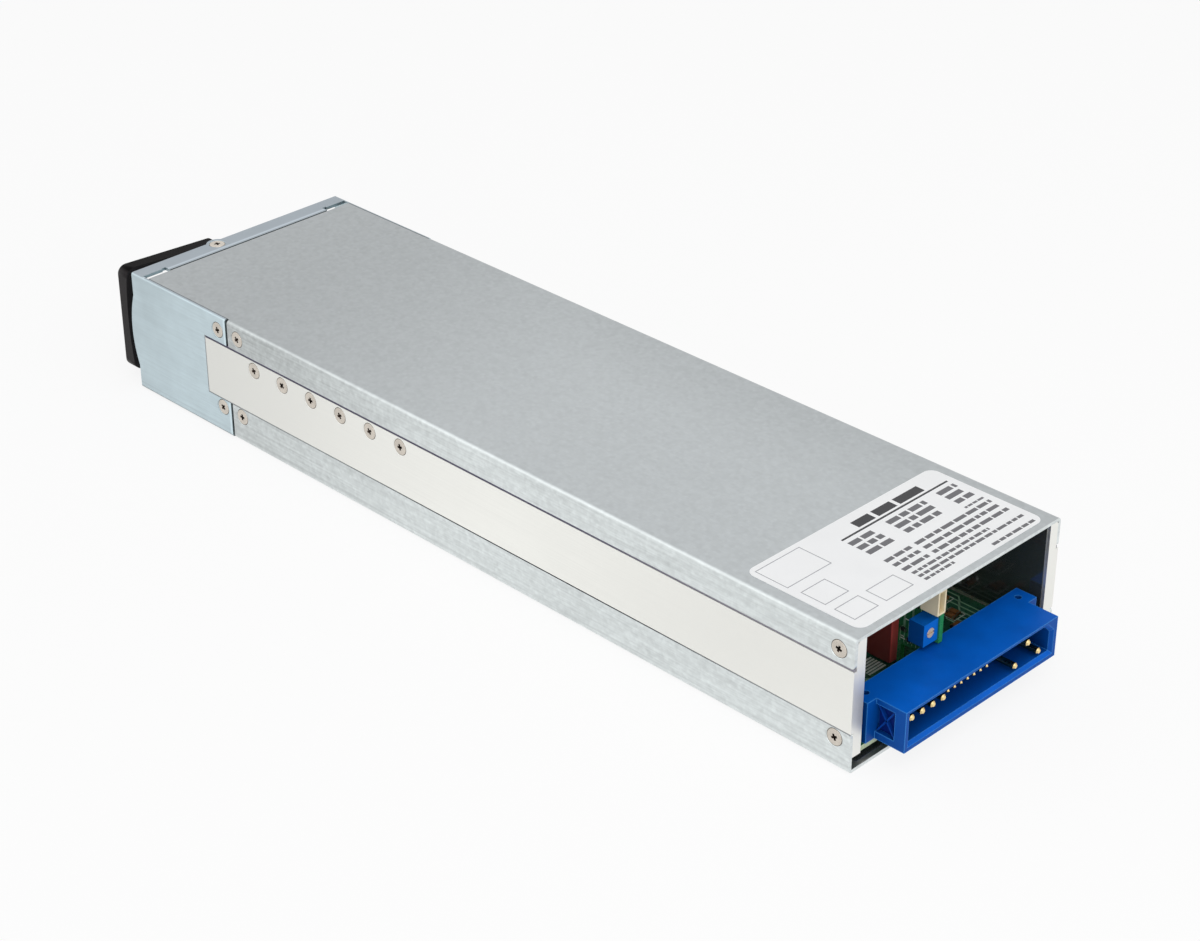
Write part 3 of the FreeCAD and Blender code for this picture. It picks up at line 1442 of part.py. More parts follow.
nodes = [
    make_cover("top_cover", roof_under, roof_edge, d.roof_flange, d.case_height, roof_under, roof_edge),
    make_cover("bottom_cover", ZERO, ZERO, d.floor_flange, ZERO, floor_top, d.floor_flange),
    make_side_bar("side_bar_right", 1),
    make_side_bar("side_bar_left", -1),
    make_front_cap(),
    make_front_panel(),
    make_lights(),
    make_label(),
    cover_screws,
    cap_screws,
    sink_screws,
    pivot_screws,
    make_handle(),
    make_fan_housing(),
    make_fan_bearing(),
    make_fan_stator(),
    make_fan_shaft(),
    make_fan_impeller(),
    fan_screws,
    make_standoffs(),
    make_board_screws(),
    make_main_board(),
    make_floor_film(),
    make_side_film(),
    connector_screws,
    power_pins,
    signal_pins,
    make_connector_housing(),
    make_control_board(),
    make_trimmer_body(),
    make_trimmer_screw(),
    make_header(),
    *make_blocks(),
    *make_capacitors(),
    *make_ring_coil(
        "filter_choke", -d.choke_side, along(CHOKE_SHARE), d.choke_inner, d.choke_outer, d.choke_height
    ),
    *make_ring_coil(
        "boost_inductor", ZERO, along(BOOST_SHARE), d.boost_inner, d.boost_outer, d.boost_height
    ),
    *make_ring_coil(
        "output_inductor", -d.coil_side, along(CORE_SHARE), d.coil_inner, d.coil_outer, d.coil_height
    ),
    *make_transformer(),
    make_fuse(),
    *make_devices(),
]

doc.recompute()
failed = [item.Label for item in doc.Objects if "Invalid" in item.State or "Error" in item.State]
failed += [node.Label for node in nodes if node.Shape.isNull() or not node.Shape.isValid()]
if failed:
    raise RuntimeError(f"failed pieces: {failed}")

os.makedirs("parts", exist_ok=True)
for node in nodes:
    node.Shape.exportStep(f"parts/{node.Label}.step")
    print(node.Label, len(node.Shape.Solids), round(node.Shape.Volume, 2))
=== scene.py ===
"""Studio scene of a slim rack-mount power supply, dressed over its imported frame."""

import logging
import math
import random
from dataclasses import dataclass
from enum import Enum
from typing import Any, Iterator, Optional, Sequence

import bmesh
import bpy
from mathutils import Matrix, Vector


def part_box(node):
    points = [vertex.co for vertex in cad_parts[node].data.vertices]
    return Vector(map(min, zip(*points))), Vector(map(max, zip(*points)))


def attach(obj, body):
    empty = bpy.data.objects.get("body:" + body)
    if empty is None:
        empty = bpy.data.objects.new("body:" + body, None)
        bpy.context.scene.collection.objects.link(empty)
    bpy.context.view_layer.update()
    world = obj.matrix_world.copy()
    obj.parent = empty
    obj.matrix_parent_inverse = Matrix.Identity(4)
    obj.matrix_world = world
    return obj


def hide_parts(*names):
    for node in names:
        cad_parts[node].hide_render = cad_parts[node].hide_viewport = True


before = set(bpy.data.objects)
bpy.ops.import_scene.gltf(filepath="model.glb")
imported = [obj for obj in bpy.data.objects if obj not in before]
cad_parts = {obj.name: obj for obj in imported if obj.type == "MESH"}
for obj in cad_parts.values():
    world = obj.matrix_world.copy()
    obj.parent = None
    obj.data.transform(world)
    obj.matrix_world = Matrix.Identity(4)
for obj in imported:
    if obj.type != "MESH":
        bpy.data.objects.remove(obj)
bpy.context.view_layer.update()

log = logging.getLogger("rack_power_supply")

Colour = tuple[float, float, float, float]
Point = tuple[float, float, float]
Flat = tuple[float, float]
Corners = tuple[Point, Point]
Rectangle = tuple[float, float, float, float]
Socket = bpy.types.NodeSocket
Vertex = bmesh.types.BMVert

MILLIMETRE = 0.001
BAND_SCALE = math.pi / 10.0 / MILLIMETRE
EDGE_STEPS = 2
EDGE_ANGLE = 50.0
EDGE_LIKENESS = (0.99, 0.9)
EDGE_SAMPLES = 6
OPEN_SAMPLES = 8
WELD_REACH = 1e-6
DISPLAY_WHITE = 255.0
DARK_END = 0.04045
DARK_SLOPE = 12.92
CURVE_LIFT = 0.055
CURVE_POWER = 2.4
AS_DRAWN = Matrix()
EVEN: Point = (1.0, 1.0, 1.0)
UNIT: Flat = (0.0, 1.0)
USUAL: Flat = (0.25, 0.75)
GREY_TONE: Colour = (0.5, 0.5, 0.5, 1.0)
WHITE: Colour = (1.0, 1.0, 1.0, 1.0)
CHASSIS = "chassis"


class Slot(str, Enum):
    """Material slots of the record, one handed to each added piece."""

    SCREW = "plated_screw"
    LABEL = "label_stock"
    BOARD = "circuit_board"
    GOLD = "gold_contact"
    BLUE = "connector_blue"
    BLACK = "black_plastic"
    STEEL = "steel_part"


class Facing(Enum):
    """Ways in which the heads of a group of screws face."""

    SIDES = "outwards on both long sides"
    ROOF_AND_FLOOR = "up on the roof and down on the floor"
    FRONT = "towards the front"
    UP = "up"
    DOWN = "down"


class Axis(Enum):
    """Axes of the frame, and the diagonal between them."""

    X = "X"
    Y = "Y"
    Z = "Z"
    DIAGONAL = "DIAGONAL"


class Operation(Enum):
    """Arithmetic that combines two values."""

    ADD = "ADD"
    SUBTRACT = "SUBTRACT"
    MULTIPLY = "MULTIPLY"
    POWER = "POWER"
    MAXIMUM = "MAXIMUM"


@dataclass(frozen=True)
class Grain:
    """Clouds with a width in millimetres, octaves of finer detail and a stretch along the axes."""

    size: float
    detail: float = 3.0
    stretch: Point = EVEN

    def scale(self) -> float:
        """Give the number of clouds in a metre."""
        return 1.0 / (self.size * MILLIMETRE)


def tone(red: float, green: float, blue: float) -> Colour:
    """Turn display values into a linear colour.

    Args:
        red: Red as seen on a display, 0 to 255.
        green: Green as seen on a display, 0 to 255.
        blue: Blue as seen on a display, 0 to 255.

    Returns:
        The linear colour with full alpha.
    """
    light = []
    for share in (red / DISPLAY_WHITE, green / DISPLAY_WHITE, blue / DISPLAY_WHITE):
        curved = ((share + CURVE_LIFT) / (1.0 + CURVE_LIFT)) ** CURVE_POWER
        light.append(share / DARK_SLOPE if share <= DARK_END else curved)
    return (*light, 1.0)


def scaled(colour: Colour, factor: float) -> Colour:
    """Make a colour lighter or darker by a factor."""
    return (colour[0] * factor, colour[1] * factor, colour[2] * factor, 1.0)


class Nodes:
    """Builds shader nodes in one node tree."""

    def __init__(self, tree: bpy.types.NodeTree) -> None:
        """Take over a node tree."""
        self.tree = tree

    def node(self, kind: str, inputs: dict[Any, Any], **settings: Any) -> bpy.types.Node:
        """Add a node, set its options and feed its sockets.

        Args:
            kind: Type name of the node.
            inputs: Values or output sockets by input name or index.
            settings: Options of the node by attribute name.

        Returns:
            The new node.
        """
        made = self.tree.nodes.new(kind)
        for key, value in settings.items():
            setattr(made, key, value)
        self.feed(made, inputs)
        return made

    def feed(self, node: bpy.types.Node, inputs: dict[Any, Any]) -> None:
        """Set or link the sockets of a node.

        Args:
            node: The node to feed.
            inputs: Values or output sockets by input name or index.
        """
        for key, value in inputs.items():
            if isinstance(value, Socket):
                self.tree.links.new(value, node.inputs[key])
            else:
                node.inputs[key].default_value = value

    def combined(self, first: Any, second: Any, operation: Operation) -> Socket:
        """Combine two values with one arithmetic operation."""
        made = self.node("ShaderNodeMath", {0: first, 1: second}, operation=operation.value)
        return made.outputs["Value"]

    def larger(self, first: Socket, second: Socket) -> Socket:
        """Give the larger of two values."""
        return self.combined(first, second, Operation.MAXIMUM)


class Backdrop(Nodes):
    """Builds the nodes of the floor or the sky, which are white for the camera."""

    def __init__(self, owner: bpy.types.Material | bpy.types.World) -> None:
        """Start with no nodes.

        Args:
            owner: Material or world that the nodes belong to.
        """
        owner.use_nodes = True
        super().__init__(owner.node_tree)
        self.tree.nodes.clear()

    def seen(self) -> Socket:
        """Find the rays that show the backdrop.

        Returns:
            1 for rays from the camera, mirrors and glass, else 0.
        """
        path = self.node("ShaderNodeLightPath", {}).outputs
        first = self.larger(path["Is Camera Ray"], path["Is Glossy Ray"])
        return self.larger(first, path["Is Transmission Ray"])

    def lay(self, share: Socket, plain: bpy.types.Node, white: bpy.types.Node, output: str) -> None:
        """Show a plain shader with a share of a white one."""
        mixed = self.node("ShaderNodeMixShader", {0: share, 1: plain.outputs[0], 2: white.outputs[0]})
        self.node(output, {"Surface": mixed.outputs[0]})


class Graph(Nodes):
    """Builds the shader nodes of one material."""

    def __init__(self, name: str) -> None:
        """Start a material with a bare principled shader.

        Args:
            name: Name of the material.
        """
        self.material = bpy.data.materials.new(name)
        self.material.use_nodes = True
        super().__init__(self.material.node_tree)

    def surface(self, **sockets: Any) -> None:
        """Feed the principled shader, with underscores for spaces in socket names."""
        named = {key.replace("_", " ").title().replace("Ior", "IOR"): value for key, value in sockets.items()}
        self.feed(self.tree.nodes["Principled BSDF"], named)

    def place(self, stretch: Point = EVEN) -> Socket:
        """Give the place on the part, stretched along its axes."""
        where = self.node("ShaderNodeTexCoord", {}).outputs["Object"]
        return self.node("ShaderNodeMapping", {"Vector": where, "Scale": stretch}).outputs["Vector"]

    def noise(self, grain: Grain) -> Socket:
        """Add clouds of one grain."""
        inputs = {"Vector": self.place(grain.stretch), "Scale": grain.scale(), "Detail": grain.detail}
        return self.node("ShaderNodeTexNoise", inputs).outputs["Fac"]

    def crystals(self, size: float) -> Socket:
        """Add a patchwork of cells of a width in millimetres.

        Args:
            size: Width of a cell.

        Returns:
            A grey of its own for each cell.
        """
        inputs = {"Vector": self.place(), "Scale": 1.0 / (size * MILLIMETRE), "Randomness": 1.0}
        cells = self.node("ShaderNodeTexVoronoi", inputs, feature="SMOOTH_F1")
        return self.node("ShaderNodeRGBToBW", {"Color": cells.outputs["Color"]}).outputs["Val"]

    def bands(self, pitch: float, direction: Axis, distortion: float = 0.0) -> Socket:
        """Add even bands across one axis, a pitch in millimetres apart."""
        inputs = {"Vector": self.place(), "Scale": BAND_SCALE / pitch, "Distortion": distortion}
        return self.node("ShaderNodeTexWave", inputs, bands_direction=direction.value).outputs["Fac"]

    def times(self, value: Socket, factor: Any) -> Socket:
        """Multiply a value."""
        return self.combined(value, factor, Operation.MULTIPLY)

    def mean(self, first: Socket, second: Socket) -> Socket:
        """Give the mean of two values."""
        return self.times(self.combined(first, second, Operation.ADD), 0.5)

    def ranged(self, value: Socket, old: Flat, new: Flat = UNIT, kind: str = "LINEAR") -> Socket:
        """Map a value from an old range to a new one."""
        inputs = dict(zip(("Value", "From Min", "From Max", "To Min", "To Max"), (value, *old, *new)))
        return self.node("ShaderNodeMapRange", inputs, interpolation_type=kind).outputs["Result"]

    def spread(self, value: Socket, low: float, high: float) -> Socket:
        """Map a value from its usual range to a new one."""
        return self.ranged(value, USUAL, (low, high))

    def blend(self, value: Socket, low: Colour, high: Colour) -> Socket:
        """Blend two colours by a value.

        Args:
            value: Share of the second colour, mostly in the usual range.
            low: Colour at the low end.
            high: Colour at the high end.

        Returns:
            The blended colour.
        """
        ramp = self.node("ShaderNodeValToRGB", {"Fac": value})
        for element, position, colour in zip(ramp.color_ramp.elements, USUAL, (low, high)):
            element.position = position
            element.color = colour
        return ramp.outputs["Color"]

    def over(self, value: Socket, under: Any, upper: Any) -> Socket:
        """Lay one colour over another where a value is high."""
        return self.node("ShaderNodeMix", {0: value, 6: under, 7: upper}, data_type="RGBA").outputs[2]

    def normal(self) -> Socket:
        """Give the way that a face looks."""
        return self.node("ShaderNodeNewGeometry", {}).outputs["Normal"]

    def part(self, vector: Socket, axis: Axis) -> Socket:
        """Give a vector's part on one axis."""
        return self.node("ShaderNodeSeparateXYZ", {"Vector": vector}).outputs[axis.value]

    def edges(self, radius: float) -> Socket:
        """Find the edges.

        Args:
            radius: Reach from an edge in millimetres.

        Returns:
            1 along edges and 0 on open faces.
        """
        soft = self.node("ShaderNodeBevel", {"Radius": radius * MILLIMETRE}, samples=EDGE_SAMPLES)
        inputs = {0: soft.outputs["Normal"], 1: self.normal()}
        likeness = self.node("ShaderNodeVectorMath", inputs, operation="DOT_PRODUCT")
        return self.ranged(likeness.outputs["Value"], EDGE_LIKENESS)

    def openness(self, reach: float) -> Socket:
        """Give 1 on open faces and less in recesses, judged over a reach in millimetres."""
        free = self.node("ShaderNodeAmbientOcclusion", {"Distance": reach * MILLIMETRE}, samples=OPEN_SAMPLES)
        return self.spread(free.outputs["AO"], *UNIT)

    def flatness(self, axis: Axis = Axis.Z, limits: Flat = (0.35, 0.9)) -> Socket:
        """Give 1 on faces square to an axis and 0 on faces along it."""
        return self.ranged(self.combined(self.part(self.normal(), axis), 2.0, Operation.POWER), limits)

    def crest(self) -> Socket:
        """Find the bends between flat and upright faces.

        Returns:
            1 halfway around a bend, and 0 on flat and upright faces.
        """
        lift = self.combined(self.part(self.normal(), Axis.Z), 2.0, Operation.POWER)
        rest = self.combined(1.0, lift, Operation.SUBTRACT)
        return self.times(self.times(lift, rest), 4.0)

    def along(self, start: float, end: float, axis: Axis = Axis.Y) -> Socket:
        """Give a soft rise from 0 to 1 between two places on an axis, in millimetres."""
        place = self.part(self.node("ShaderNodeTexCoord", {}).outputs["Object"], axis)
        return self.ranged(place, (start * MILLIMETRE, end * MILLIMETRE), kind="SMOOTHSTEP")

    def hump(self, rise: Flat, fall: Flat, axis: Axis = Axis.Y) -> Socket:
        """Give a soft rise from 0 to 1 and a fall back to 0 along an axis."""
        return self.combined(self.along(*rise, axis), self.along(*fall, axis), Operation.SUBTRACT)

    def relief(self, height: Socket, strength: float, depth: float) -> Socket:
        """Turn a height into a bumped normal, with the depth in millimetres."""
        inputs = {"Height": height, "Strength": strength, "Distance": depth * MILLIMETRE}
        return self.node("ShaderNodeBump", inputs).outputs["Normal"]


@dataclass(frozen=True)
class Finish:
    """Look of one material."""

    name: str
    colour: Colour

    def shade(self, factor: float) -> Colour:
        """Give the finish's colour, lighter or darker by a factor."""
        return scaled(self.colour, factor)

    def toned(self, graph: Graph, value: Socket, tones: Flat) -> Socket:
        """Vary the finish's colour between two lightnesses by a value."""
        return graph.blend(value, self.shade(tones[0]), self.shade(tones[1]))

    def material(self) -> bpy.types.Material:
        """Make the material once and hand out the same one after that.

        Returns:
            The material.
        """
        made = bpy.data.materials.get(self.name)
        if made is None:
            graph = Graph(self.name)
            self.paint(graph)
            made = graph.material
        return made

    def paint(self, graph: Graph) -> None:
        """Draw the finish into a material's nodes."""
        raise NotImplementedError


@dataclass(frozen=True)
class SpangledSheet(Finish):
    """Zinc-coated steel sheet with soft crystals and a rolled grain."""

    # Roof colour: darker than the sides, as painted shade on the upward faces.
    roof: Colour = GREY_TONE
    contrast: float = 0.1
    calm: float = 0.65
    lively: float = 1.9
    crystal: float = 1.1
    mottle: Grain = Grain(1.9, 6.0)
    grain: Grain = Grain(0.5, 4.0, (1.0, 0.12, 1.0))
    grain_dull: float = 0.2
    streak: Grain = Grain(0.7, 3.0, (1.0, 0.03, 1.0))
    roughness: Flat = (0.32, 0.48)
    bump: Flat = (0.12, 0.02)
    metal: float = 0.85
    # Painted shade: the dull share and the runs below darken the sheet towards the front, the roof and the
    # far side of flat faces.
    dull: float = 0.9
    shade_run: Flat = (-120.0, 40.0)
    shade_rise: Flat = (0.62, 1.08)
    shade_heights: Flat = (8.0, 36.0)
    shaded_side: float = 0.62
    shaded_roof: float = 0.78
    far_run: Flat = (5.0, -50.0)
    far_shade: float = 0.6
    # Painted shade: a darker line where the lower fold begins.
    fold_rise: Flat = (1.6, 2.1)
    fold_fall: Flat = (2.1, 2.8)
    fold_share: float = 0.4
    fold_shade: float = 0.72
    # Painted highlight: a brighter line along the lip of the front cap's rim.
    lip_rise: Flat = (-145.1, -144.0)
    lip_fall: Flat = (-144.0, -143.6)
    lip_highlight: float = 1.5
    # Painted highlight: a paler strip along the rear edge of the front cap's sides.
    hem: Optional[Flat] = None
    hem_highlight: float = 1.22
    # Painted highlight: the bends between flat and upright faces are lightened.
    bend_share: float = 0.22
    bend_highlight: float = 1.16
    # Painted shade: recesses within this reach in millimetres are darkened; 0 leaves none.
    recess: float = 0.0
    recess_shade_tone: float = 0.12

    def sides(self, graph: Graph, factor: float, patch: Socket) -> Socket:
        """Vary the colour of the upright faces by crystals and long rolled streaks.

        Args:
            graph: Graph that is drawn in.
            factor: Lightness of the faces, below 1 for the copy in painted shade.
            patch: Value of the crystals.

        Returns:
            The colour, with a darker line of painted shade where the lower fold begins and a painted
            highlight along the hem.
        """
        change = self.contrast * self.lively
        mixed = graph.mean(patch, graph.noise(self.streak))
        sheet = self.toned(graph, mixed, (factor - change, factor + change))
        # Painted shade along the start of the lower fold.
        line = graph.times(graph.hump(self.fold_rise, self.fold_fall, Axis.Z), self.fold_share)
        sheet = graph.over(line, sheet, self.shade(factor * self.fold_shade))
        # Painted highlight along the hem.
        if self.hem is not None:
            sheet = graph.over(graph.along(*self.hem), sheet, self.shade(factor * self.hem_highlight))
        return sheet

    def flats(self, graph: Graph, factor: float, patch: Socket) -> Socket:
        """Vary the colour of the flat faces by the crystals, more calmly, in the roof colour that paints
        shade on them.

        Args:
            graph: Graph that is drawn in.
            factor: Lightness of the faces, below 1 for the copy in painted shade.
            patch: Value of the crystals.

        Returns:
            The colour, with a painted highlight along the lip of the front cap's rim.
        """
        change = self.contrast * self.calm
        plain = graph.blend(patch, scaled(self.roof, factor - change), scaled(self.roof, factor + change))
        # Painted highlight along the lip.
        lip = graph.hump(self.lip_rise, self.lip_fall)
        return graph.over(lip, plain, scaled(self.roof, factor * self.lip_highlight))

    def painted_shading(self, graph: Graph) -> Socket:
        """Find the share of painted shade, which grows towards the front, the roof and the far side.

        Args:
            graph: Graph that is drawn in.

        Returns:
            A value from 0 to 1.
        """
        front = graph.ranged(graph.along(*self.shade_run), UNIT, (self.dull, 0.0))
        height = graph.ranged(graph.along(*self.shade_heights, Axis.Z), UNIT, self.shade_rise)
        far = graph.times(graph.along(*self.far_run, Axis.X), self.far_shade)
        return graph.larger(graph.times(front, height), graph.times(far, graph.flatness()))

    def paint(self, graph: Graph) -> None:
        """Draw the crystals, a broad mottling, the rolled grain, painted shade over broad areas and in
        recesses, and painted highlights on the bends.

        Args:
            graph: Graph that is drawn in.
        """
        crystal = graph.crystals(self.crystal)
        grain = graph.noise(self.grain)
        patch = graph.mean(crystal, graph.noise(self.mottle))
        # Lit copy of the sheet.
        bright = graph.over(graph.flatness(), self.sides(graph, 1.0, patch), self.flats(graph, 1.0, patch))
        # Shaded copy of the sheet, for the painted shade.
        side, roof = self.sides(graph, self.shaded_side, patch), self.flats(graph, self.shaded_roof, patch)
        dark = graph.over(graph.flatness(), side, roof)
        # Share of the shaded copy: the grain's random dull streaks and the painted shade.
        share = graph.larger(graph.spread(grain, 0.0, self.grain_dull), self.painted_shading(graph))
        # Painted highlight on the bends.
        bend = graph.times(graph.crest(), self.bend_share)
        sheet = graph.over(bend, graph.over(share, bright, dark), self.shade(self.bend_highlight))
        # Painted shade in recesses.
        if self.recess > 0.0:
            sheet = graph.over(graph.openness(self.recess), self.shade(self.recess_shade_tone), sheet)
        graph.surface(
            base_color=sheet,
            metallic=self.metal,
            roughness=graph.spread(graph.times(patch, grain), *self.roughness),
            normal=graph.relief(graph.combined(grain, crystal, Operation.ADD), *self.bump),
        )


@dataclass(frozen=True)
class BrushedBar(Finish):
    """Extruded aluminium with a satin grain along its length."""

    lines: Grain = Grain(0.28, 5.0, (1.0, 0.008, 1.0))
    line_tones: Flat = (0.93, 1.05)
    cloud: Grain = Grain(22.0, 4.0, (1.0, 0.4, 1.0))
    cloud_tones: Flat = (0.95, 1.04)
    cloud_share: Flat = (0.3, 0.6)
    roughness: Flat = (0.3, 0.46)
    bump: Flat = (0.08, 0.02)
    metal: float = 0.8
    # Painted shade: the bar darkens towards its front and rear ends.
    front_run: Flat = (-130.0, 20.0)
    front_shade: float = 0.81
    rear_run: Flat = (50.0, 120.0)
    rear_shade: float = 0.94

    def paint(self, graph: Graph) -> None:
        """Draw long drawn lines, a faint cloudiness and painted shade towards both ends.

        Args:
            graph: Graph that is drawn in.
        """
        lines, cloud = graph.noise(self.lines), graph.noise(self.cloud)
        drawn, dull = self.toned(graph, lines, self.line_tones), self.toned(graph, cloud, self.cloud_tones)
        satin = graph.over(graph.spread(cloud, *self.cloud_share), drawn, dull)
        # Painted shade towards the rear end, then towards the front end.
        rear = graph.over(graph.along(*self.rear_run), satin, self.shade(self.rear_shade))
        graph.surface(
            base_color=graph.over(graph.along(*self.front_run), self.shade(self.front_shade), rear),
            metallic=self.metal,
            roughness=graph.spread(lines, *self.roughness),
            normal=graph.relief(lines, *self.bump),
        )


@dataclass(frozen=True)
class PlatedMetal(Finish):
    """Plated or machined metal with fine scratches and light tarnish."""

    scratch: Grain = Grain(0.16, 4.0, (1.0, 0.35, 1.0))
    cloud: Grain = Grain(2.4, 4.0)
    roughness: Flat = (0.2, 0.38)
    bump: Flat = (0.08, 0.01)
    tarnish: float = 0.75
    metal: float = 1.0
    # Painted shade: faces that run along Y take this colour factor.
    shaft: float = 1.0

    def paint(self, graph: Graph) -> None:
        """Draw patches of tarnish, fine scratches and painted shade on the shafts along Y.

        Args:
            graph: Graph that is drawn in.
        """
        scratch = graph.noise(self.scratch)
        tint = self.toned(graph, graph.noise(self.cloud), (self.tarnish, 1.0))
        # Painted shade on the shafts.
        if self.shaft < 1.0:
            tint = graph.over(graph.flatness(Axis.Y, USUAL), self.shade(self.shaft), tint)
        graph.surface(
            base_color=tint,
            metallic=self.metal,
            roughness=graph.spread(scratch, *self.roughness),
            normal=graph.relief(scratch, *self.bump),
        )


@dataclass(frozen=True)
class MouldedPlastic(Finish):
    """Moulded plastic with a fine surface grain."""

    rough: float = 0.45
    rough_change: Flat = (-0.06, 0.08)
    grain: float = 0.35
    bump: float = 0.25
    depth: float = 0.02
    flow: Grain = Grain(9.0)
    flow_tones: Flat = (0.86, 1.1)
    coat: float = 0.0
    coat_rough: float = 0.15
    gloss: float = 0.5
    # Painted shade: upright faces take this colour factor.
    upright: float = 1.0
    upright_limits: Flat = (0.1, 0.5)
    face_limits: Flat = (0.3, 0.7)
    # Painted shade: faces square to X take this colour factor.
    flank_shade: float = 1.0
    # Painted shade: faces square to Z take this colour factor, with less gloss there.
    top: float = 1.0
    # Painted shade: recesses within this reach in millimetres are darkened; 0 leaves none.
    recess: float = 0.0
    recess_shade: float = 0.42
    # Painted highlight: edges within this reach in millimetres are lightened; 0 leaves none.
    edge_light_reach: float = 0.0
    edge_light: Colour = GREY_TONE
    edge_light_dark: float = 0.7

    def paint(self, graph: Graph) -> None:
        """Draw the moulded grain, a faint flow of colour, painted shade on some faces and in recesses, and
        painted highlights along the edges.

        Args:
            graph: Graph that is drawn in.
        """
        skin = graph.noise(Grain(self.grain))
        tint = self.toned(graph, graph.noise(self.flow), self.flow_tones)
        gloss: Any = self.gloss
        # Painted shade on upright faces.
        if self.upright < 1.0:
            tint = graph.over(graph.flatness(Axis.Z, self.upright_limits), self.shade(self.upright), tint)
        # Painted shade on faces square to X.
        if self.flank_shade < 1.0:
            tint = graph.over(graph.flatness(Axis.X, self.face_limits), tint, self.shade(self.flank_shade))
        # Painted shade on faces square to Z.
        if self.top < 1.0:
            flat = graph.flatness(Axis.Z, self.face_limits)
            tint = graph.over(flat, tint, self.shade(self.top))
            gloss = graph.ranged(flat, UNIT, (self.gloss, self.gloss * self.top))
        # Painted shade in recesses.
        if self.recess > 0.0:
            tint = graph.over(graph.openness(self.recess), self.shade(self.recess_shade), tint)
        # Painted highlight along the edges.
        if self.edge_light_reach > 0.0:
            lit_edges = graph.blend(skin, scaled(self.edge_light, self.edge_light_dark), self.edge_light)
            tint = graph.over(graph.edges(self.edge_light_reach), tint, lit_edges)
        graph.surface(
            base_color=tint,
            roughness=graph.spread(skin, *(self.rough + change for change in self.rough_change)),
            specular_ior_level=gloss,
            coat_weight=self.coat,
            coat_roughness=self.coat_rough,
            normal=graph.relief(skin, self.bump, self.depth),
        )


@dataclass(frozen=True)
class SolderMask(Finish):
    """Circuit board under solder mask, with copper areas and bare edges showing paler."""

    copper: Colour = GREY_TONE
    edge: Colour = GREY_TONE
    thin: Axis = Axis.Z
    area: float = 4.5
    weave: float = 0.9
    grain: Grain = Grain(0.6)
    grain_share: float = 0.25
    grain_dark: float = 0.6
    edge_dark: float = 0.8
    roughness: Flat = (0.24, 0.36)
    coat: Flat = (0.3, 0.12)
    bump: Flat = (0.15, 0.02)

    def paint(self, graph: Graph) -> None:
        """Draw the mask, the copper beneath it, the glass weave and the cut edges.

        Args:
            graph: Graph that is drawn in.
        """
        areas = graph.crystals(self.area)
        weave = graph.times(graph.bands(self.weave, Axis.X), graph.bands(self.weave, Axis.Y))
        grain = graph.noise(self.grain)
        tint = graph.blend(areas, self.colour, self.copper)
        face = graph.over(graph.spread(grain, 0.0, self.grain_share), tint, self.shade(self.grain_dark))
        cut = graph.blend(grain, scaled(self.edge, self.edge_dark), self.edge)
        graph.surface(
            base_color=graph.over(graph.flatness(self.thin), cut, face),
            roughness=graph.spread(grain, *self.roughness),
            coat_weight=self.coat[0],
            coat_roughness=self.coat[1],
            normal=graph.relief(graph.combined(weave, areas, Operation.ADD), *self.bump),
        )


@dataclass(frozen=True)
class GlossFilm(Finish):
    """Thin film that lies slightly wavy on what backs it."""

    roughness: Flat = (0.1, 0.13)
    mirror: float = 2.0
    dust: Grain = Grain(0.8, 4.0)
    dust_light: float = 1.15
    waves: Grain = Grain(18.0, 2.0)
    bump: Flat = (0.3, 0.4)

    def paint(self, graph: Graph) -> None:
        """Draw broad waves, dust and a glossy skin.

        Args:
            graph: Graph that is drawn in.
        """
        dust = graph.noise(self.dust)
        graph.surface(
            base_color=self.toned(graph, dust, (1.0, self.dust_light)),
            roughness=graph.spread(dust, *self.roughness),
            ior=self.mirror,
            normal=graph.relief(graph.noise(self.waves), *self.bump),
        )


@dataclass(frozen=True)
class SeamShade(Finish):
    """Dark strip behind an open seam as painted shade, paler towards the ends of the case."""

    # Paler colour of the painted shade towards the ends.
    pale: Colour = GREY_TONE
    front: Flat = (-400.0, -300.0)
    rear: Flat = (40.0, 120.0)
    speckle: Grain = Grain(0.3)
    speckle_dark: float = 0.8
    pale_dark: float = 0.85
    roughness: Flat = (0.82, 0.95)
    gloss: float = 0.1
    bump: Flat = (0.3, 0.05)

    def paint(self, graph: Graph) -> None:
        """Draw a fine speckle and the paler ends.

        Args:
            graph: Graph that is drawn in.
        """
        speckle = graph.noise(self.speckle)
        deep = self.toned(graph, speckle, (self.speckle_dark, 1.0))
        light = graph.blend(speckle, scaled(self.pale, self.pale_dark), self.pale)
        graph.surface(
            # Painted shade, paler towards the ends.
            base_color=graph.over(graph.hump(self.front, self.rear), light, deep),
            roughness=graph.spread(speckle, *self.roughness),
            specular_ior_level=self.gloss,
            normal=graph.relief(speckle, *self.bump),
        )


@dataclass(frozen=True)
class LabelStock(Finish):
    """Printed plastic label with a matt skin."""

    grain: Grain = Grain(0.3)
    cloud: Grain = Grain(12.0)
    cloud_dark: float = 0.965
    roughness: Flat = (0.42, 0.55)
    bump: Flat = (0.1, 0.01)

    def paint(self, graph: Graph) -> None:
        """Draw a faint unevenness of print and a matt grain.

        Args:
            graph: Graph that is drawn in.
        """
        skin = graph.noise(self.grain)
        graph.surface(
            base_color=self.toned(graph, graph.noise(self.cloud), (self.cloud_dark, 1.0)),
            roughness=graph.spread(skin, *self.roughness),
            normal=graph.relief(skin, *self.bump),
        )


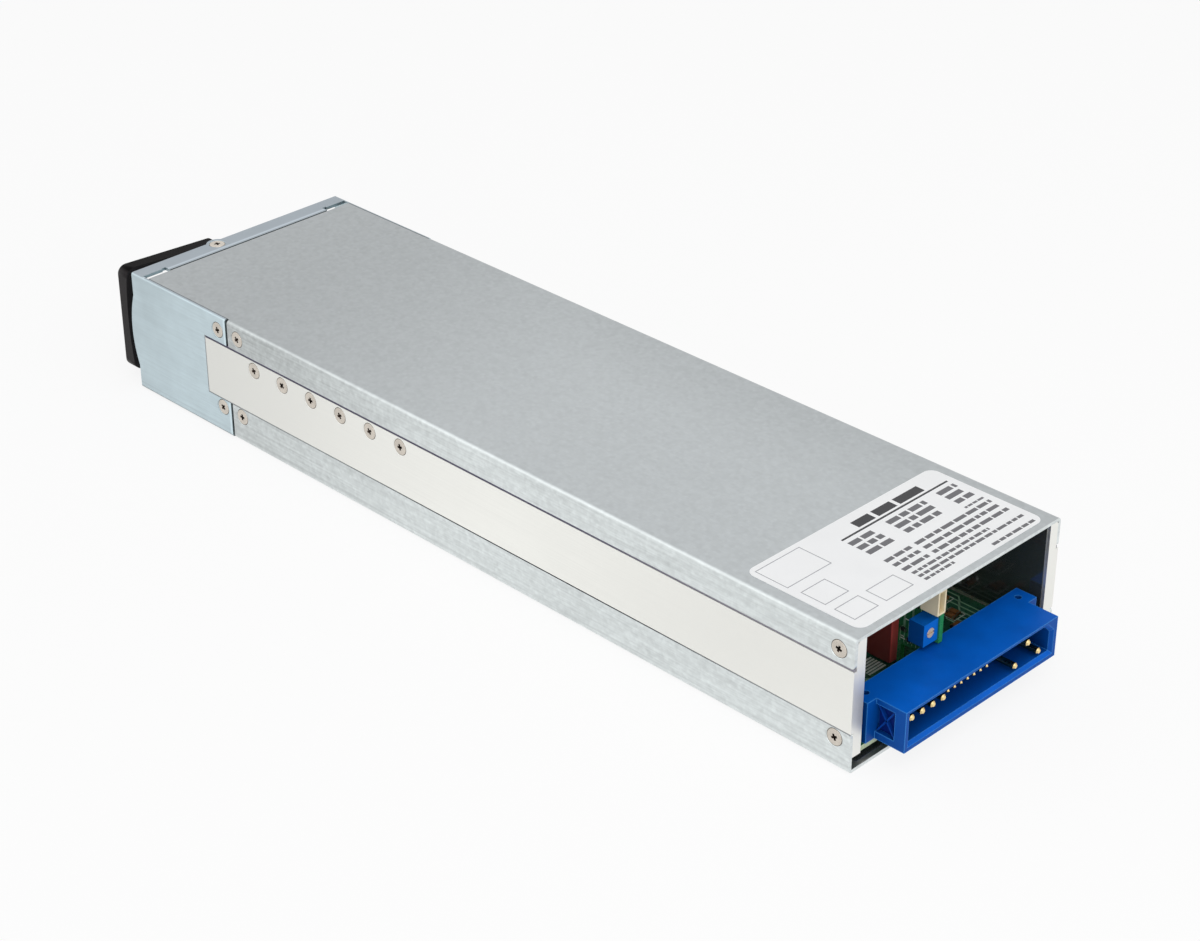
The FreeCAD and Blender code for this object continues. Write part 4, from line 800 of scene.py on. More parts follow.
@dataclass(frozen=True)
class WoundWire(Finish):
    """Enamelled wire or tape laid in close turns."""

    pitch: float = 0.9
    direction: Axis = Axis.DIAGONAL
    wander: float = 0.6
    # Painted shade between the turns.
    turn_shade: float = 0.45
    cloud: Grain = Grain(5.0)
    cloud_share: float = 0.3
    cloud_dark: float = 0.7
    roughness: Flat = (0.25, 0.4)
    bump: Flat = (0.8, 0.3)
    metal: float = 0.9

    def paint(self, graph: Graph) -> None:
        """Draw the turns as rounded bands, darker between the turns as painted shade.

        Args:
            graph: Graph that is drawn in.
        """
        turns = graph.bands(self.pitch, self.direction, self.wander)
        cloud = graph.noise(self.cloud)
        # Painted shade between the turns.
        tint = self.toned(graph, turns, (self.turn_shade, 1.0))
        faded = graph.spread(cloud, 0.0, self.cloud_share)
        graph.surface(
            base_color=graph.over(faded, tint, self.shade(self.cloud_dark)),
            metallic=self.metal,
            roughness=graph.spread(cloud, *self.roughness),
            normal=graph.relief(turns, *self.bump),
        )


# Roof colours darker than the sides are painted shade on the upward faces.
GALVANISED = SpangledSheet("spangled sheet", tone(222, 228, 228), roof=tone(188, 193, 195))
# The bright zinc takes painted shade towards the front and in recesses, and a painted highlight along the
# hem.
BRIGHT_ZINC = SpangledSheet(
    "bright zinc sheet",
    tone(197, 213, 219),
    roof=tone(166, 176, 184),
    contrast=0.05,
    crystal=5.0,
    mottle=Grain(3.2, 6.0),
    dull=0.35,
    shade_run=(-152.0, -106.0),
    hem=(-103.7, -103.1),
    recess=3.0,
)
BAR = BrushedBar("drawn aluminium", tone(245, 245, 240))
SCREW = PlatedMetal("satin nickel", tone(216, 208, 197), tarnish=0.8)
# Dark finish of the screws' cross recesses and the ring under their heads: painted shade.
SHADED_RECESS = PlatedMetal("shaded recess", tone(72, 62, 55), roughness=(0.4, 0.6))
STEEL = PlatedMetal("turned steel", tone(190, 192, 194))
# Gold pins with painted shade on their shafts, so that the tips stay brightest.
GOLD = PlatedMetal("gold plate", tone(250, 222, 160), roughness=(0.12, 0.25), tarnish=0.85, shaft=0.4)
BRASS = PlatedMetal("machined brass", tone(240, 216, 188), metal=0.25)
BRONZE = PlatedMetal("sintered bronze", tone(170, 128, 84), roughness=(0.4, 0.6))
TIN = PlatedMetal("tinned pad", tone(196, 206, 196), roughness=(0.25, 0.45))
BLACK = MouldedPlastic("black moulding", tone(34, 34, 38), rough=0.42, grain=0.45, depth=0.03)
# Grip moulding with painted shade on its top faces.
GRIP = MouldedPlastic(
    "grip moulding", tone(36, 33, 34), rough=0.42, grain=0.45, depth=0.03, gloss=0.13, top=0.25
)
# Blue moulding with painted shade on its upright faces and in recesses, and painted highlights along its
# edges.
BLUE = MouldedPlastic(
    "blue moulding",
    tone(0, 96, 201),
    rough=0.46,
    grain=0.3,
    depth=0.015,
    gloss=0.12,
    upright=0.62,
    recess=15.0,
    edge_light_reach=0.45,
    edge_light=tone(64, 146, 228),
)
# Blue moulding darkened as painted shade inside the end pockets: the plate at each pocket's bottom, and the
# ribs.
POCKET_SHADE_BLUE = MouldedPlastic("shaded blue moulding", tone(2, 34, 112), rough=0.5, gloss=0.1)
SHADED_RIB_BLUE = MouldedPlastic("blue rib moulding", tone(4, 62, 150), rough=0.5, gloss=0.1)
# Trimmer moulding with painted shade on its faces square to X.
TRIMMER_BLUE = MouldedPlastic("trimmer moulding", tone(8, 112, 214), rough=0.36, gloss=0.2, flank_shade=0.43)
CREAM = MouldedPlastic("natural nylon", tone(238, 224, 188), rough=0.48)
# Dipped coat with painted shade on its faces square to X.
RED = MouldedPlastic("dipped red coat", tone(240, 106, 100), rough=0.4, grain=0.8, depth=0.05, flank_shade=0.32)
GREY = MouldedPlastic("grey moulding", tone(120, 124, 130), rough=0.5)
CERAMIC = MouldedPlastic("ceramic tube", tone(226, 222, 210), rough=0.35, coat=0.3)
CLEAR = MouldedPlastic("milky light pipe", tone(214, 232, 214), rough=0.2, coat=0.5)
SLEEVE = MouldedPlastic("shrink sleeve", tone(30, 34, 48), rough=0.26, coat=0.4)
FERRITE = MouldedPlastic("pressed ferrite", tone(56, 56, 60), rough=0.6, grain=0.25, depth=0.04)
CHIP = MouldedPlastic("ceramic chip", tone(164, 116, 70), rough=0.4)
MASK = SolderMask("green solder mask", tone(38, 98, 72), copper=tone(52, 124, 90), edge=tone(178, 194, 156))
UPRIGHT_MASK = SolderMask(
    "upright solder mask", tone(40, 124, 76), copper=tone(56, 148, 94), edge=tone(46, 150, 70), thin=Axis.X
)
TRACK = LabelStock("track under mask", tone(162, 206, 174))
LEGEND = LabelStock("board legend", tone(234, 243, 232))
LABEL = LabelStock("label stock", tone(249, 250, 251))
INK = LabelStock("label ink", tone(40, 40, 44))
ROW_INK = LabelStock("row ink", tone(104, 104, 108))
PALE_INK = LabelStock("pale label ink", tone(168, 170, 174))
# Dark strips in the seams: painted shade, paler towards the ends.
UPPER_SEAM_SHADE = SeamShade("upper seam shade", tone(104, 101, 122), pale=tone(150, 148, 158))
LOWER_SEAM_SHADE = SeamShade(
    "lower seam shade", tone(26, 24, 44), pale=tone(178, 180, 182), front=(-70.0, 20.0), rear=(60.0, 140.0)
)
FILM = GlossFilm("black film", tone(52, 57, 58))
COPPER = WoundWire("enamelled wire", tone(196, 110, 62))
TAPE = WoundWire("winding tape", tone(226, 190, 70), pitch=6.0, direction=Axis.Z, metal=0.0)


def new_object(name: str, data: Any) -> bpy.types.Object:
    """Put an object into the scene.

    Args:
        name: Name of the object.
        data: Its mesh, lamp or camera.

    Returns:
        The new object.
    """
    made = bpy.data.objects.new(name, data)
    bpy.context.scene.collection.objects.link(made)
    return made


def aimed(thing: bpy.types.Object, place: Point, way: Vector) -> None:
    """Set a lamp or a camera in its place and turn it one way.

    Args:
        thing: The lamp or camera.
        place: Where it goes.
        way: The way it looks.
    """
    thing.location = place
    thing.rotation_mode = "QUATERNION"
    thing.rotation_quaternion = way.to_track_quat("-Z", "Y")


def pairs(points: Sequence[Any]) -> Iterator[tuple[Any, Any]]:
    """Give each point of a closed line with the one after it."""
    return zip(points, (*points[1:], points[0]))


class Shape:
    """Collects the mesh of one piece in millimetres."""

    sharp_angle: float = 34.0
    recess_taper: float = 0.55
    ribbon_end: float = 0.8
    box_sides: tuple[tuple[int, ...], ...] = (
        (0, 1, 3, 2),
        (4, 6, 7, 5),
        (0, 4, 5, 1),
        (2, 3, 7, 6),
        (0, 2, 6, 4),
        (1, 5, 7, 3),
    )

    def __init__(self) -> None:
        """Start with no mesh."""
        self.mesh = bmesh.new()
        self.finish_index = 0

    def face(self, corners: Sequence[Vertex]) -> bmesh.types.BMFace:
        """Add a face in the current finish.

        Args:
            corners: Its vertices in order.

        Returns:
            The new face.
        """
        made = self.mesh.faces.new(corners)
        made.material_index = self.finish_index
        return made

    def vertices(self, points: Sequence[Point], matrix: Matrix = AS_DRAWN) -> list[Vertex]:
        """Add vertices at points moved by a matrix."""
        return [self.mesh.verts.new(matrix @ Vector(point)) for point in points]

    def box(self, low: Point, high: Point, soft: float = 0.0) -> None:
        """Add a box with softened edges.

        Args:
            low: Lowest corner.
            high: Highest corner.
            soft: Radius of its edges.
        """
        across, along, up = zip(low, high)
        corners = self.vertices([(x, y, z) for x in across for y in along for z in up])
        faces = [self.face([corners[number] for number in side]) for side in self.box_sides]
        if soft > 0.0:
            edges = {edge for face in faces for edge in face.edges}
            options = {"offset": soft, "segments": EDGE_STEPS, "profile": 0.5, "affect": "EDGES"}
            bmesh.ops.bevel(self.mesh, geom=list(edges), **options)

    def plate(self, outline: Sequence[Flat], low: float, high: float, matrix: Matrix = AS_DRAWN) -> None:
        """Add a flat plate.

        Args:
            outline: Corners in order, anticlockwise seen from above.
            low: Height of its underside.
            high: Height of its top.
            matrix: Where the plate goes.
        """
        under = self.vertices([(x, y, low) for x, y in outline], matrix)
        upper = self.vertices([(x, y, high) for x, y in outline], matrix)
        self.face(upper)
        self.face(under[::-1])
        for (first, above), (last, over) in pairs(list(zip(under, upper))):
            self.face((first, last, over, above))

    def ribbon(self, path: Sequence[Flat], width: float, layer: Flat, matrix: Matrix = AS_DRAWN) -> None:
        """Add a flat strip along a path, one plate for each run.

        Args:
            path: Points of its middle line.
            width: Width of the strip.
            layer: Heights of its underside and top.
            matrix: Where the strip goes.
        """
        for start, end in zip(path, path[1:]):
            ahead = (Vector(end) - Vector(start)).normalized() * (width / 2.0)
            side = Vector((-ahead.y, ahead.x))
            first, last = Vector(start) - ahead * self.ribbon_end, Vector(end) + ahead * self.ribbon_end
            outline = [tuple(spot) for spot in (first - side, last - side, last + side, first + side)]
            self.plate(outline, *layer, matrix)

    def turned(self, rings: Sequence[Flat], matrix: Matrix, steps: int = 32) -> list[Vertex]:
        """Add a turned form about Z.

        Args:
            rings: Radius and height of each ring; a radius of 0 closes the form.
            matrix: Where the form goes.
            steps: Facets around it.

        Returns:
            The vertices of the first ring.
        """
        turns = [math.tau * step / steps for step in range(steps)]
        loops = []
        for radius, height in rings:
            around = turns if radius > 0.0 else [0.0]
            ring = [(radius * math.cos(turn), radius * math.sin(turn), height) for turn in around]
            loops.append(self.vertices(ring, matrix))
        for upper, lower in zip(loops, loops[1:]):
            for step in range(steps):
                after = (step + 1) % steps
                corners = [upper[step % len(upper)], lower[step % len(lower)], lower[after % len(lower)]]
                if len(upper) > 1:
                    corners.append(upper[after])
                self.face(list(dict.fromkeys(corners)))
        return loops[0]

    def cross_recess(self, rim: Sequence[Vertex], size: Flat, depth: float, matrix: Matrix) -> None:
        """Close a screw's top with a tapered cross recess.

        Args:
            rim: Ring of vertices around the top.
            size: Half length of the cross and half width of its arms.
            depth: Depth of the recess.
            matrix: Where the screw's top is.
        """
        a, b = size
        taper = self.recess_taper
        quarter = ((a, -b), (a, b), (b, b))
        outline = [*quarter, *((-y, x) for x, y in quarter), *((-x, -y) for x, y in quarter)]
        outline += [(y, -x) for x, y in quarter]
        mouth = self.vertices([(x, y, 0.0) for x, y in outline], matrix)
        base = self.vertices([(x * taper, y * taper, -depth) for x, y in outline], matrix)
        edges = [self.mesh.edges.new(pair) for pair in pairs(mouth)]
        edges += [self.mesh.edges.get(pair) for pair in pairs(rim)]
        filled = bmesh.ops.triangle_fill(self.mesh, use_beauty=True, edges=edges)
        for made in filled["geom"]:
            if isinstance(made, bmesh.types.BMFace):
                made.material_index = self.finish_index
        self.finish_index += 1
        for (first, under), (last, below) in pairs(list(zip(mouth, base))):
            self.face((first, last, below, under))
        self.face(base)
        self.finish_index -= 1

    def piece(self, name: str, finishes: Sequence[Finish], slot: Slot) -> bpy.types.Object:
        """Turn the mesh into a piece that rides on the chassis.

        Args:
            name: Name of the piece.
            finishes: Finishes by their index in the mesh.
            slot: Slot of the record for the piece; not used.

        Returns:
            The new object.
        """
        bmesh.ops.recalc_face_normals(self.mesh, faces=self.mesh.faces[:])
        bmesh.ops.scale(self.mesh, vec=(MILLIMETRE,) * 3, verts=self.mesh.verts[:])
        data = bpy.data.meshes.new(name)
        self.mesh.to_mesh(data)
        self.mesh.free()
        for finish in finishes:
            data.materials.append(finish.material())
        data.shade_smooth()
        data.set_sharp_from_angle(angle=math.radians(self.sharp_angle))
        made = new_object(name, data)
        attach(made, CHASSIS)
        log.info("piece %s on %s", name, CHASSIS)
        return made


def span(node: str) -> tuple[Vector, Vector]:
    """Give a CAD node's lowest and highest corners in millimetres."""
    low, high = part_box(node)
    return low / MILLIMETRE, high / MILLIMETRE


def solids(node: str) -> Iterator[tuple[Vector, Vector]]:
    """Give the box of each separate solid of a CAD node.

    Args:
        node: Name of the node.

    Returns:
        Lowest and highest corners in millimetres, in a steady order.
    """
    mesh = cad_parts[node].data
    places = [tuple(round(value / MILLIMETRE, 3) for value in vertex.co) for vertex in mesh.vertices]
    root: dict[Any, Any] = {place: place for place in places}

    def top(place: Any) -> Any:
        """Follow a place to the first one of its solid.

        Args:
            place: Any place of the solid.

        Returns:
            The first place.
        """
        while root[place] != place:
            root[place] = root[root[place]]
            place = root[place]
        return place

    for polygon in mesh.polygons:
        first = top(places[polygon.vertices[0]])
        for number in polygon.vertices[1:]:
            root[top(places[number])] = first
    groups: dict[Any, list[Any]] = {}
    for place in root:
        groups.setdefault(top(place), []).append(place)
    for group in sorted(groups.values(), key=min):
        columns = list(zip(*group))
        yield Vector(map(min, columns)), Vector(map(max, columns))


def side_face(place: float, way: float = 1.0) -> Matrix:
    """Give the matrix that lays a drawing of Y and Z on a face at a place on X, looking one way."""
    return Matrix(((0.0, 0.0, way, place), (1.0, 0.0, 0.0, 0.0), (0.0, 1.0, 0.0, 0.0), (0.0, 0.0, 0.0, 1.0)))


def row_of(start: Flat, step: Flat, count: int) -> list[Flat]:
    """Give points in a straight row."""
    return [(start[0] + step[0] * number, start[1] + step[1] * number) for number in range(count)]


def moved(point: Point, by: Point) -> Point:
    """Give a point moved along all three axes."""
    return (point[0] + by[0], point[1] + by[1], point[2] + by[2])


def rectangle(x: float, y: float, wide: float, tall: float) -> list[Flat]:
    """Give the corners of a rectangle in order."""
    return [(x, y), (x + wide, y), (x + wide, y + tall), (x, y + tall)]


def dress(finish: Finish, *nodes: str, edge: float = 0.0) -> None:
    """Give CAD nodes their finish and softened edges.

    Args:
        finish: Finish of all their faces.
        nodes: Names of the nodes.
        edge: Radius of their edges in millimetres; 0 leaves them sharp.
    """
    for node in nodes:
        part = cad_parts[node]
        part.data.materials.clear()
        part.data.materials.append(finish.material())
        if edge > 0.0:
            weld = part.modifiers.new("weld", "WELD")
            weld.merge_threshold = WELD_REACH
            bevel = part.modifiers.new("edge", "BEVEL")
            bevel.width = edge * MILLIMETRE
            bevel.segments = EDGE_STEPS
            bevel.limit_method = "ANGLE"
            bevel.angle_limit = math.radians(EDGE_ANGLE)
            bevel.harden_normals = True
        log.info("node %s in %s", node, finish.name)


@dataclass(frozen=True)
class LabelRow:
    """Row of bars on the label, in millimetres from its front and right edges."""

    back: float
    tall: float
    columns: tuple[Flat, ...]


RATINGS: tuple[Flat, ...] = ((29.5, 39.5), (45.0, 61.0), (66.5, 74.0))
DETAILS: tuple[Flat, ...] = ((29.5, 40.0), (42.0, 74.0))
LABEL_TITLE = LabelRow(5.0, 3.2, ((38.0, 67.0),))
LABEL_ROWS = (
    *(LabelRow(back, 1.9, RATINGS) for back in (10.6, 13.6, 16.7)),
    LabelRow(20.2, 0.8, ((66.0, 74.0),)),
    *(LabelRow(back, 1.4, DETAILS) for back in (22.6, 25.5, 28.5)),
    LabelRow(31.3, 1.1, ((30.0, 62.0),)),
    LabelRow(33.4, 1.1, ((30.0, 74.0),)),
    LabelRow(35.4, 1.0, ((30.0, 42.0),)),
    LabelRow(37.2, 1.1, ((56.0, 74.0),)),
)


@dataclass
class SheetCase:
    """Folded covers, front cap, recessed panel, side bars and rating label."""

    label_skin: float = 0.02
    label_corner: float = 3.0
    corner_steps: int = 8
    field_line: float = 0.3
    bar_lengths: Flat = (1.2, 3.4)
    bar_gap: float = 0.4
    bar_least: float = 0.6
    print_seed: int = 11
    rule: Rectangle = (74.0, 7.4, 29.5, 8.1)
    fields: tuple[Rectangle, ...] = (
        (1.8, 1.8, 17.4, 11.4),
        (2.6, 16.8, 9.4, 8.4),
        (2.6, 28.0, 9.4, 7.0),
        (15.0, 28.0, 11.0, 7.0),
    )
    upper_seam: Flat = (31.32, 31.98)
    lower_seam: Flat = (12.02, 12.38)
    end_seam: Flat = (0.02, 0.38)
    seam_ends: Flat = (0.05, 0.3)
    seam_root: float = 41.51
    # Outer faces of the painted-shade strips in the upper, lower and end seams.
    shade_strip_faces: Point = (42.3, 42.42, 42.47)
    shade_strip_softness: Point = (0.05, 0.03, 0.02)

    def build(self) -> None:
        """Make the rating label, its print and the dark strips of painted shade in the seams."""
        self.build_seams()
        low, high = span("rating_label")
        plate = Shape()
        plate.plate(list(self.rounded(low, high)), low.z, high.z - self.label_skin)
        label = plate.piece("rating_label_plate", (LABEL,), Slot.LABEL)
        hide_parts("rating_label")
        self.build_print((high.x, low.y), (high.z - self.label_skin, high.z - self.label_skin / 2.0))

    def build_seams(self) -> None:
        """Lay dark strips of painted shade in the seams around the bars' strips."""
        low, high = span("side_bar_right")
        run = (low.y + self.seam_ends[0], high.y - self.seam_ends[1])
        end_run = (low.y - self.end_seam[1], low.y - self.end_seam[0])
        end_rise = (self.lower_seam[0], self.upper_seam[1])
        places = ((0, run, self.upper_seam), (1, run, self.lower_seam), (1, end_run, end_rise))
        shape = Shape()
        for side in (1.0, -1.0):
            for (index, along, up), face, soft in zip(places, self.shade_strip_faces, self.shade_strip_softness):
                inner, outer = sorted((side * self.seam_root, side * face))
                shape.finish_index = index
                shape.box((inner, along[0], up[0]), (outer, along[1], up[1]), soft)
        shape.piece("seam_shade_strips", (UPPER_SEAM_SHADE, LOWER_SEAM_SHADE), Slot.BLACK)

    def rounded(self, low: Vector, high: Vector) -> Iterator[Flat]:
        """Give the label's outline with rounded corners.

        Args:
            low: Label's lowest corner.
            high: Label's highest corner.

        Returns:
            The points of the outline in order.
        """
        radius = self.label_corner
        left, right, front, rear = low.x + radius, high.x - radius, low.y + radius, high.y - radius
        for quarter, (x, y) in enumerate(((right, rear), (left, rear), (left, front), (right, front))):
            for step in range(self.corner_steps + 1):
                turn = math.pi / 2.0 * (quarter + step / self.corner_steps)
                yield x + radius * math.cos(turn), y + radius * math.sin(turn)

    def build_print(self, corner: Flat, layer: Flat) -> None:
        """Print plain bars, a rule and empty fields on the label.

        Args:
            corner: Label's right edge on X and front edge on Y.
            layer: Heights of the print's underside and top.
        """
        right, front = corner
        base, top = layer
        shape = Shape()
        draw = random.Random(self.print_seed)
        self.row(shape, draw, LABEL_TITLE, corner, layer)
        far, start, near, end = self.rule
        shape.box((right - far, front + start, base), (right - near, front + end, top))
        shape.finish_index = 1
        for row in LABEL_ROWS:
            self.row(shape, draw, row, corner, layer)
        shape.finish_index = 2
        for near, back, wide, tall in self.fields:
            self.field(shape, (right - near - wide, front + back), (wide, tall), layer)
        shape.piece("rating_label_fields", (INK, ROW_INK, PALE_INK), Slot.LABEL)

    def row(self, shape: Shape, draw: random.Random, row: LabelRow, corner: Flat, layer: Flat) -> None:
        """Print one row of bars of uneven length.

        Args:
            shape: Shape that takes the bars.
            draw: Source of the lengths.
            row: Place, height and columns of the row.
            corner: Label's right edge on X and front edge on Y.
            layer: Heights of the print's underside and top.
        """
        edge, y = corner[0], corner[1] + row.back
        half = row.tall / 2.0
        for place, far in row.columns:
            while place < far - row.tall * self.bar_least:
                length = min(row.tall * draw.uniform(*self.bar_lengths), far - place)
                shape.box((edge - place - length, y - half, layer[0]), (edge - place, y + half, layer[1]))
                place += length + row.tall * self.bar_gap

    def field(self, shape: Shape, corner: Flat, size: Flat, layer: Flat) -> None:
        """Print the outline of an empty field.

        Args:
            shape: Shape that takes the lines.
            corner: Corner of the field.
            size: Width and height of the field.
            layer: Heights of the print's underside and top.
        """
        (x, y), (wide, tall), (base, top) = corner, size, layer
        line = self.field_line
        shape.box((x, y, base), (x + wide, y + line, top))
        shape.box((x, y + tall - line, base), (x + wide, y + tall, top))
        shape.box((x, y + line, base), (x + line, y + tall - line, top))
        shape.box((x + wide - line, y + line, base), (x + wide, y + tall - line, top))

    def dress(self) -> None:
        """Finish the sheet parts, the bars and the light pipes."""
        dress(GALVANISED, "top_cover", "bottom_cover")
        dress(BRIGHT_ZINC, "front_cap", "front_panel")
        dress(BAR, "side_bar_right", "side_bar_left")
        dress(CLEAR, "status_light_pipes")


@dataclass
class ScrewGroup:
    """Screws with cross recesses in place of one node's plain ones."""

    node: str
    facing: Facing
    head: float = 2.72
    collar: float = 0.24
    crown_steps: tuple[Flat, ...] = ((0.22, 0.0), (0.06, -0.05), (0.0, -0.12), (0.0, -0.2))
    pan_crown: tuple[Flat, ...] = ((1.75, 0.0), (2.2, -0.28), (2.48, -0.75), (2.56, -1.3), (2.56, -1.7))
    seat: float = -0.16
    neck: float = -0.98
    shank: float = 1.45
    point: Flat = (0.75, 0.4)
    cross: Flat = (1.0, 0.36)
    depth: float = 0.95
    pan: bool = False
    half_way_up: float = 20.0

    def crown(self) -> list[Flat]:
        """Give the turned profile of the bright top, from its rim outwards.

        Returns:
            Radius and height of each ring.
        """
        if self.pan:
            return list(self.pan_crown)
        rim = self.head - self.collar
        return [(rim - inset, height) for inset, height in self.crown_steps]

    def stem(self, length: float) -> list[Flat]:
        """Give the turned profile of the part in the painted-shade finish, from under the crown to the tip.

        Args:
            length: Length of the whole screw.

        Returns:
            Radius and height of each ring.
        """
        slim, rise = self.point
        tip = [(self.shank, -length + rise), (self.shank * slim, -length), (0.0, -length)]
        if self.pan:
            radius, height = self.pan_crown[-1]
            return [(radius, height), (self.shank, height), *tip]
        return [(self.head - self.collar, self.seat), (self.head, self.seat), (self.shank, self.neck), *tip]

    def placed(self, low: Vector, high: Vector) -> tuple[Vector, Vector, float]:
        """Find where a screw's head is and which way it faces.

        Args:
            low: Lowest corner of the plain screw.
            high: Highest corner of the plain screw.

        Returns:
            Middle of the head's top, the way it faces, and the screw's length.
        """
        middle = (low + high) / 2.0
        if self.facing is Facing.SIDES:
            side = 1.0 if middle.x > 0.0 else -1.0
            way, length = Vector((side, 0.0, 0.0)), high.x - low.x
        elif self.facing is Facing.FRONT:
            way, length = Vector((0.0, -1.0, 0.0)), high.y - low.y
        else:
            on_roof = self.facing is Facing.ROOF_AND_FLOOR and middle.z > self.half_way_up
            up = 1.0 if on_roof or self.facing is Facing.UP else -1.0
            way, length = Vector((0.0, 0.0, up)), high.z - low.z
        return middle + way * (length / 2.0), way, length

    def build(self) -> None:
        """Make one piece with all the group's screws."""
        shape = Shape()
        draw = random.Random(len(self.node))
        for low, high in solids(self.node):
            top, way, length = self.placed(low, high)
            turn = Vector((0.0, 0.0, 1.0)).rotation_difference(way).to_matrix().to_4x4()
            spin = Matrix.Rotation(draw.uniform(0.0, math.pi / 2.0), 4, "Z")
            where = Matrix.Translation(top) @ turn @ spin
            # The stem, with its ring under the head, and the cross recess take the painted-shade finish.
            shape.finish_index = 1
            shape.turned(self.stem(length), where)
            shape.finish_index = 0
            rim = shape.turned(self.crown(), where)
            shape.cross_recess(rim, self.cross, self.depth, where)
        made = shape.piece(f"{self.node}_crossed", (SCREW, SHADED_RECESS), Slot.SCREW)
        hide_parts(self.node)


@dataclass
class PullHandle:
    """Moulded lever on its pivot screws."""

    edge: float = 0.7

    def dress(self) -> None:
        """Finish the handle with softened edges."""
        dress(GRIP, "handle", edge=self.edge)


@dataclass
class CoolingFan:
    """Fan behind the grille."""

    moulding: Finish = BLACK
    winding: Finish = COPPER

    def dress(self) -> None:
        """Finish the fan's housing, rotor and motor."""
        dress(self.moulding, "fan_housing", "fan_impeller")
        dress(STEEL, "fan_shaft")
        dress(BRONZE, "fan_bearing")
        dress(self.winding, "fan_stator")


@dataclass
class RearConnector:
    """Shrouded pin connector at the rear edge."""

    edge: float = 0.35
    shroud: Flat = (-31.3, 32.5)
    reach: float = 9.8
    pocket_cut: float = 1.6
    pocket_length: float = 6.2
    pocket_walls: Flat = (2.2, 1.7)
    clearance: float = 0.03
    # Heights of the dark plate of painted shade at the bottom of each pocket.
    shade_plate: Flat = (0.01, 0.12)
    rib: float = 0.5
    rib_drop: float = 0.5
    rib_slack: float = 0.9

    def build(self) -> None:
        """Cross two ribs in each of the pockets at the shroud's ends, over a dark plate of painted shade."""
        low, high = span("connector_housing")
        start = high.y - self.reach + self.clearance
        end = start + self.pocket_length - 2.0 * self.clearance
        bottom = low.z + self.pocket_walls[0] + self.clearance
        top = high.z - self.pocket_walls[1] - self.clearance
        slack = self.rib * self.rib_slack
        shape = Shape()
        for outer, way in zip(self.shroud, (-1.0, 1.0)):
            face = side_face(outer - way * self.pocket_cut, way)
            # Dark plate of painted shade at the pocket's bottom.
            shape.finish_index = 0
            shape.plate(rectangle(start, bottom, end - start, top - bottom), *self.shade_plate, face)
            shape.finish_index = 1
            for first, last in ((bottom, top), (top, bottom)):
                lift = math.copysign(slack, last - first)
                path = [(start + slack, first + lift), (end - slack, last - lift)]
                shape.ribbon(path, self.rib, (self.shade_plate[1], self.pocket_cut - self.rib_drop), face)
        shape.piece("connector_end_ribs", (POCKET_SHADE_BLUE, SHADED_RIB_BLUE), Slot.BLUE)

    def dress(self) -> None:
        """Finish the housing with softened edges and plate the pins."""
        dress(BLUE, "connector_housing", edge=self.edge)
        dress(GOLD, "power_pins", "signal_pins")


SOLDER: tuple[Flat, ...] = ((0.0, 0.75), (0.35, 0.7), (0.62, 0.35), (0.95, 0.0), (0.95, -0.02), (0.0, -0.02))
SOLDER_STEPS = 16


@dataclass(frozen=True)
class ChipPart:
    """Small part with a body and two tinned ends, each given by its lowest and highest corners."""

    body: Corners
    ends: tuple[Corners, Corners]
    soft: Flat = (0.1, 0.08)

    def build(self, shape: Shape, spot: Point) -> None:
        """Set the part on a board.

        Args:
            shape: Shape that takes it, with the body's finish first and the ends' second.
            spot: Where its corner goes.
        """
        for index, boxes in enumerate(((self.body,), self.ends)):
            shape.finish_index = index
            for low, high in boxes:
                shape.box(moved(low, spot), moved(high, spot), self.soft[index])


UPRIGHT_CHIP = ChipPart(
    ((0.03, 0.4, 0.0), (0.7, 1.6, 1.1)),
    (((0.01, 0.0, -0.02), (0.73, 0.5, 1.12)), ((0.01, 1.5, -0.02), (0.73, 2.0, 1.12))),
)
CHIP_ACROSS = ChipPart(
    ((0.0, 0.0, 0.04), (3.2, 1.6, 0.9)),
    (((-0.25, -0.03, 0.0), (0.35, 1.63, 0.94)), ((2.6, -0.03, 0.0), (3.2, 1.63, 0.94))),
)
CHIP_ALONG = ChipPart(
    ((0.0, 0.0, 0.04), (1.6, 3.2, 0.9)),
    (((-0.03, -0.25, 0.0), (1.63, 0.35, 0.94)), ((-0.03, 2.6, 0.0), (1.63, 3.2, 0.94))),
)


@dataclass(frozen=True)
class TrackGroup:
    """Tracks side by side that run the same way and each step aside once."""

    first: float
    pitch: float
    run: Flat
    shift: float
    bends: tuple[float, ...]

    def lay(self, shape: Shape, width: float, layer: Flat, matrix: Matrix = AS_DRAWN) -> None:
        """Lay the tracks on a board.

        Args:
            shape: Shape that takes them.
            width: Width of a track.
            layer: Heights of the tracks' underside and top.
            matrix: Where the board's face is.
        """
        start, end = self.run
        for number, bend in enumerate(self.bends):
            place = self.first + number * self.pitch
            aside = place + self.shift
            path = [(place, start), (place, bend), (aside, bend + self.shift), (aside, end)]
            shape.ribbon(path, width, layer, matrix)


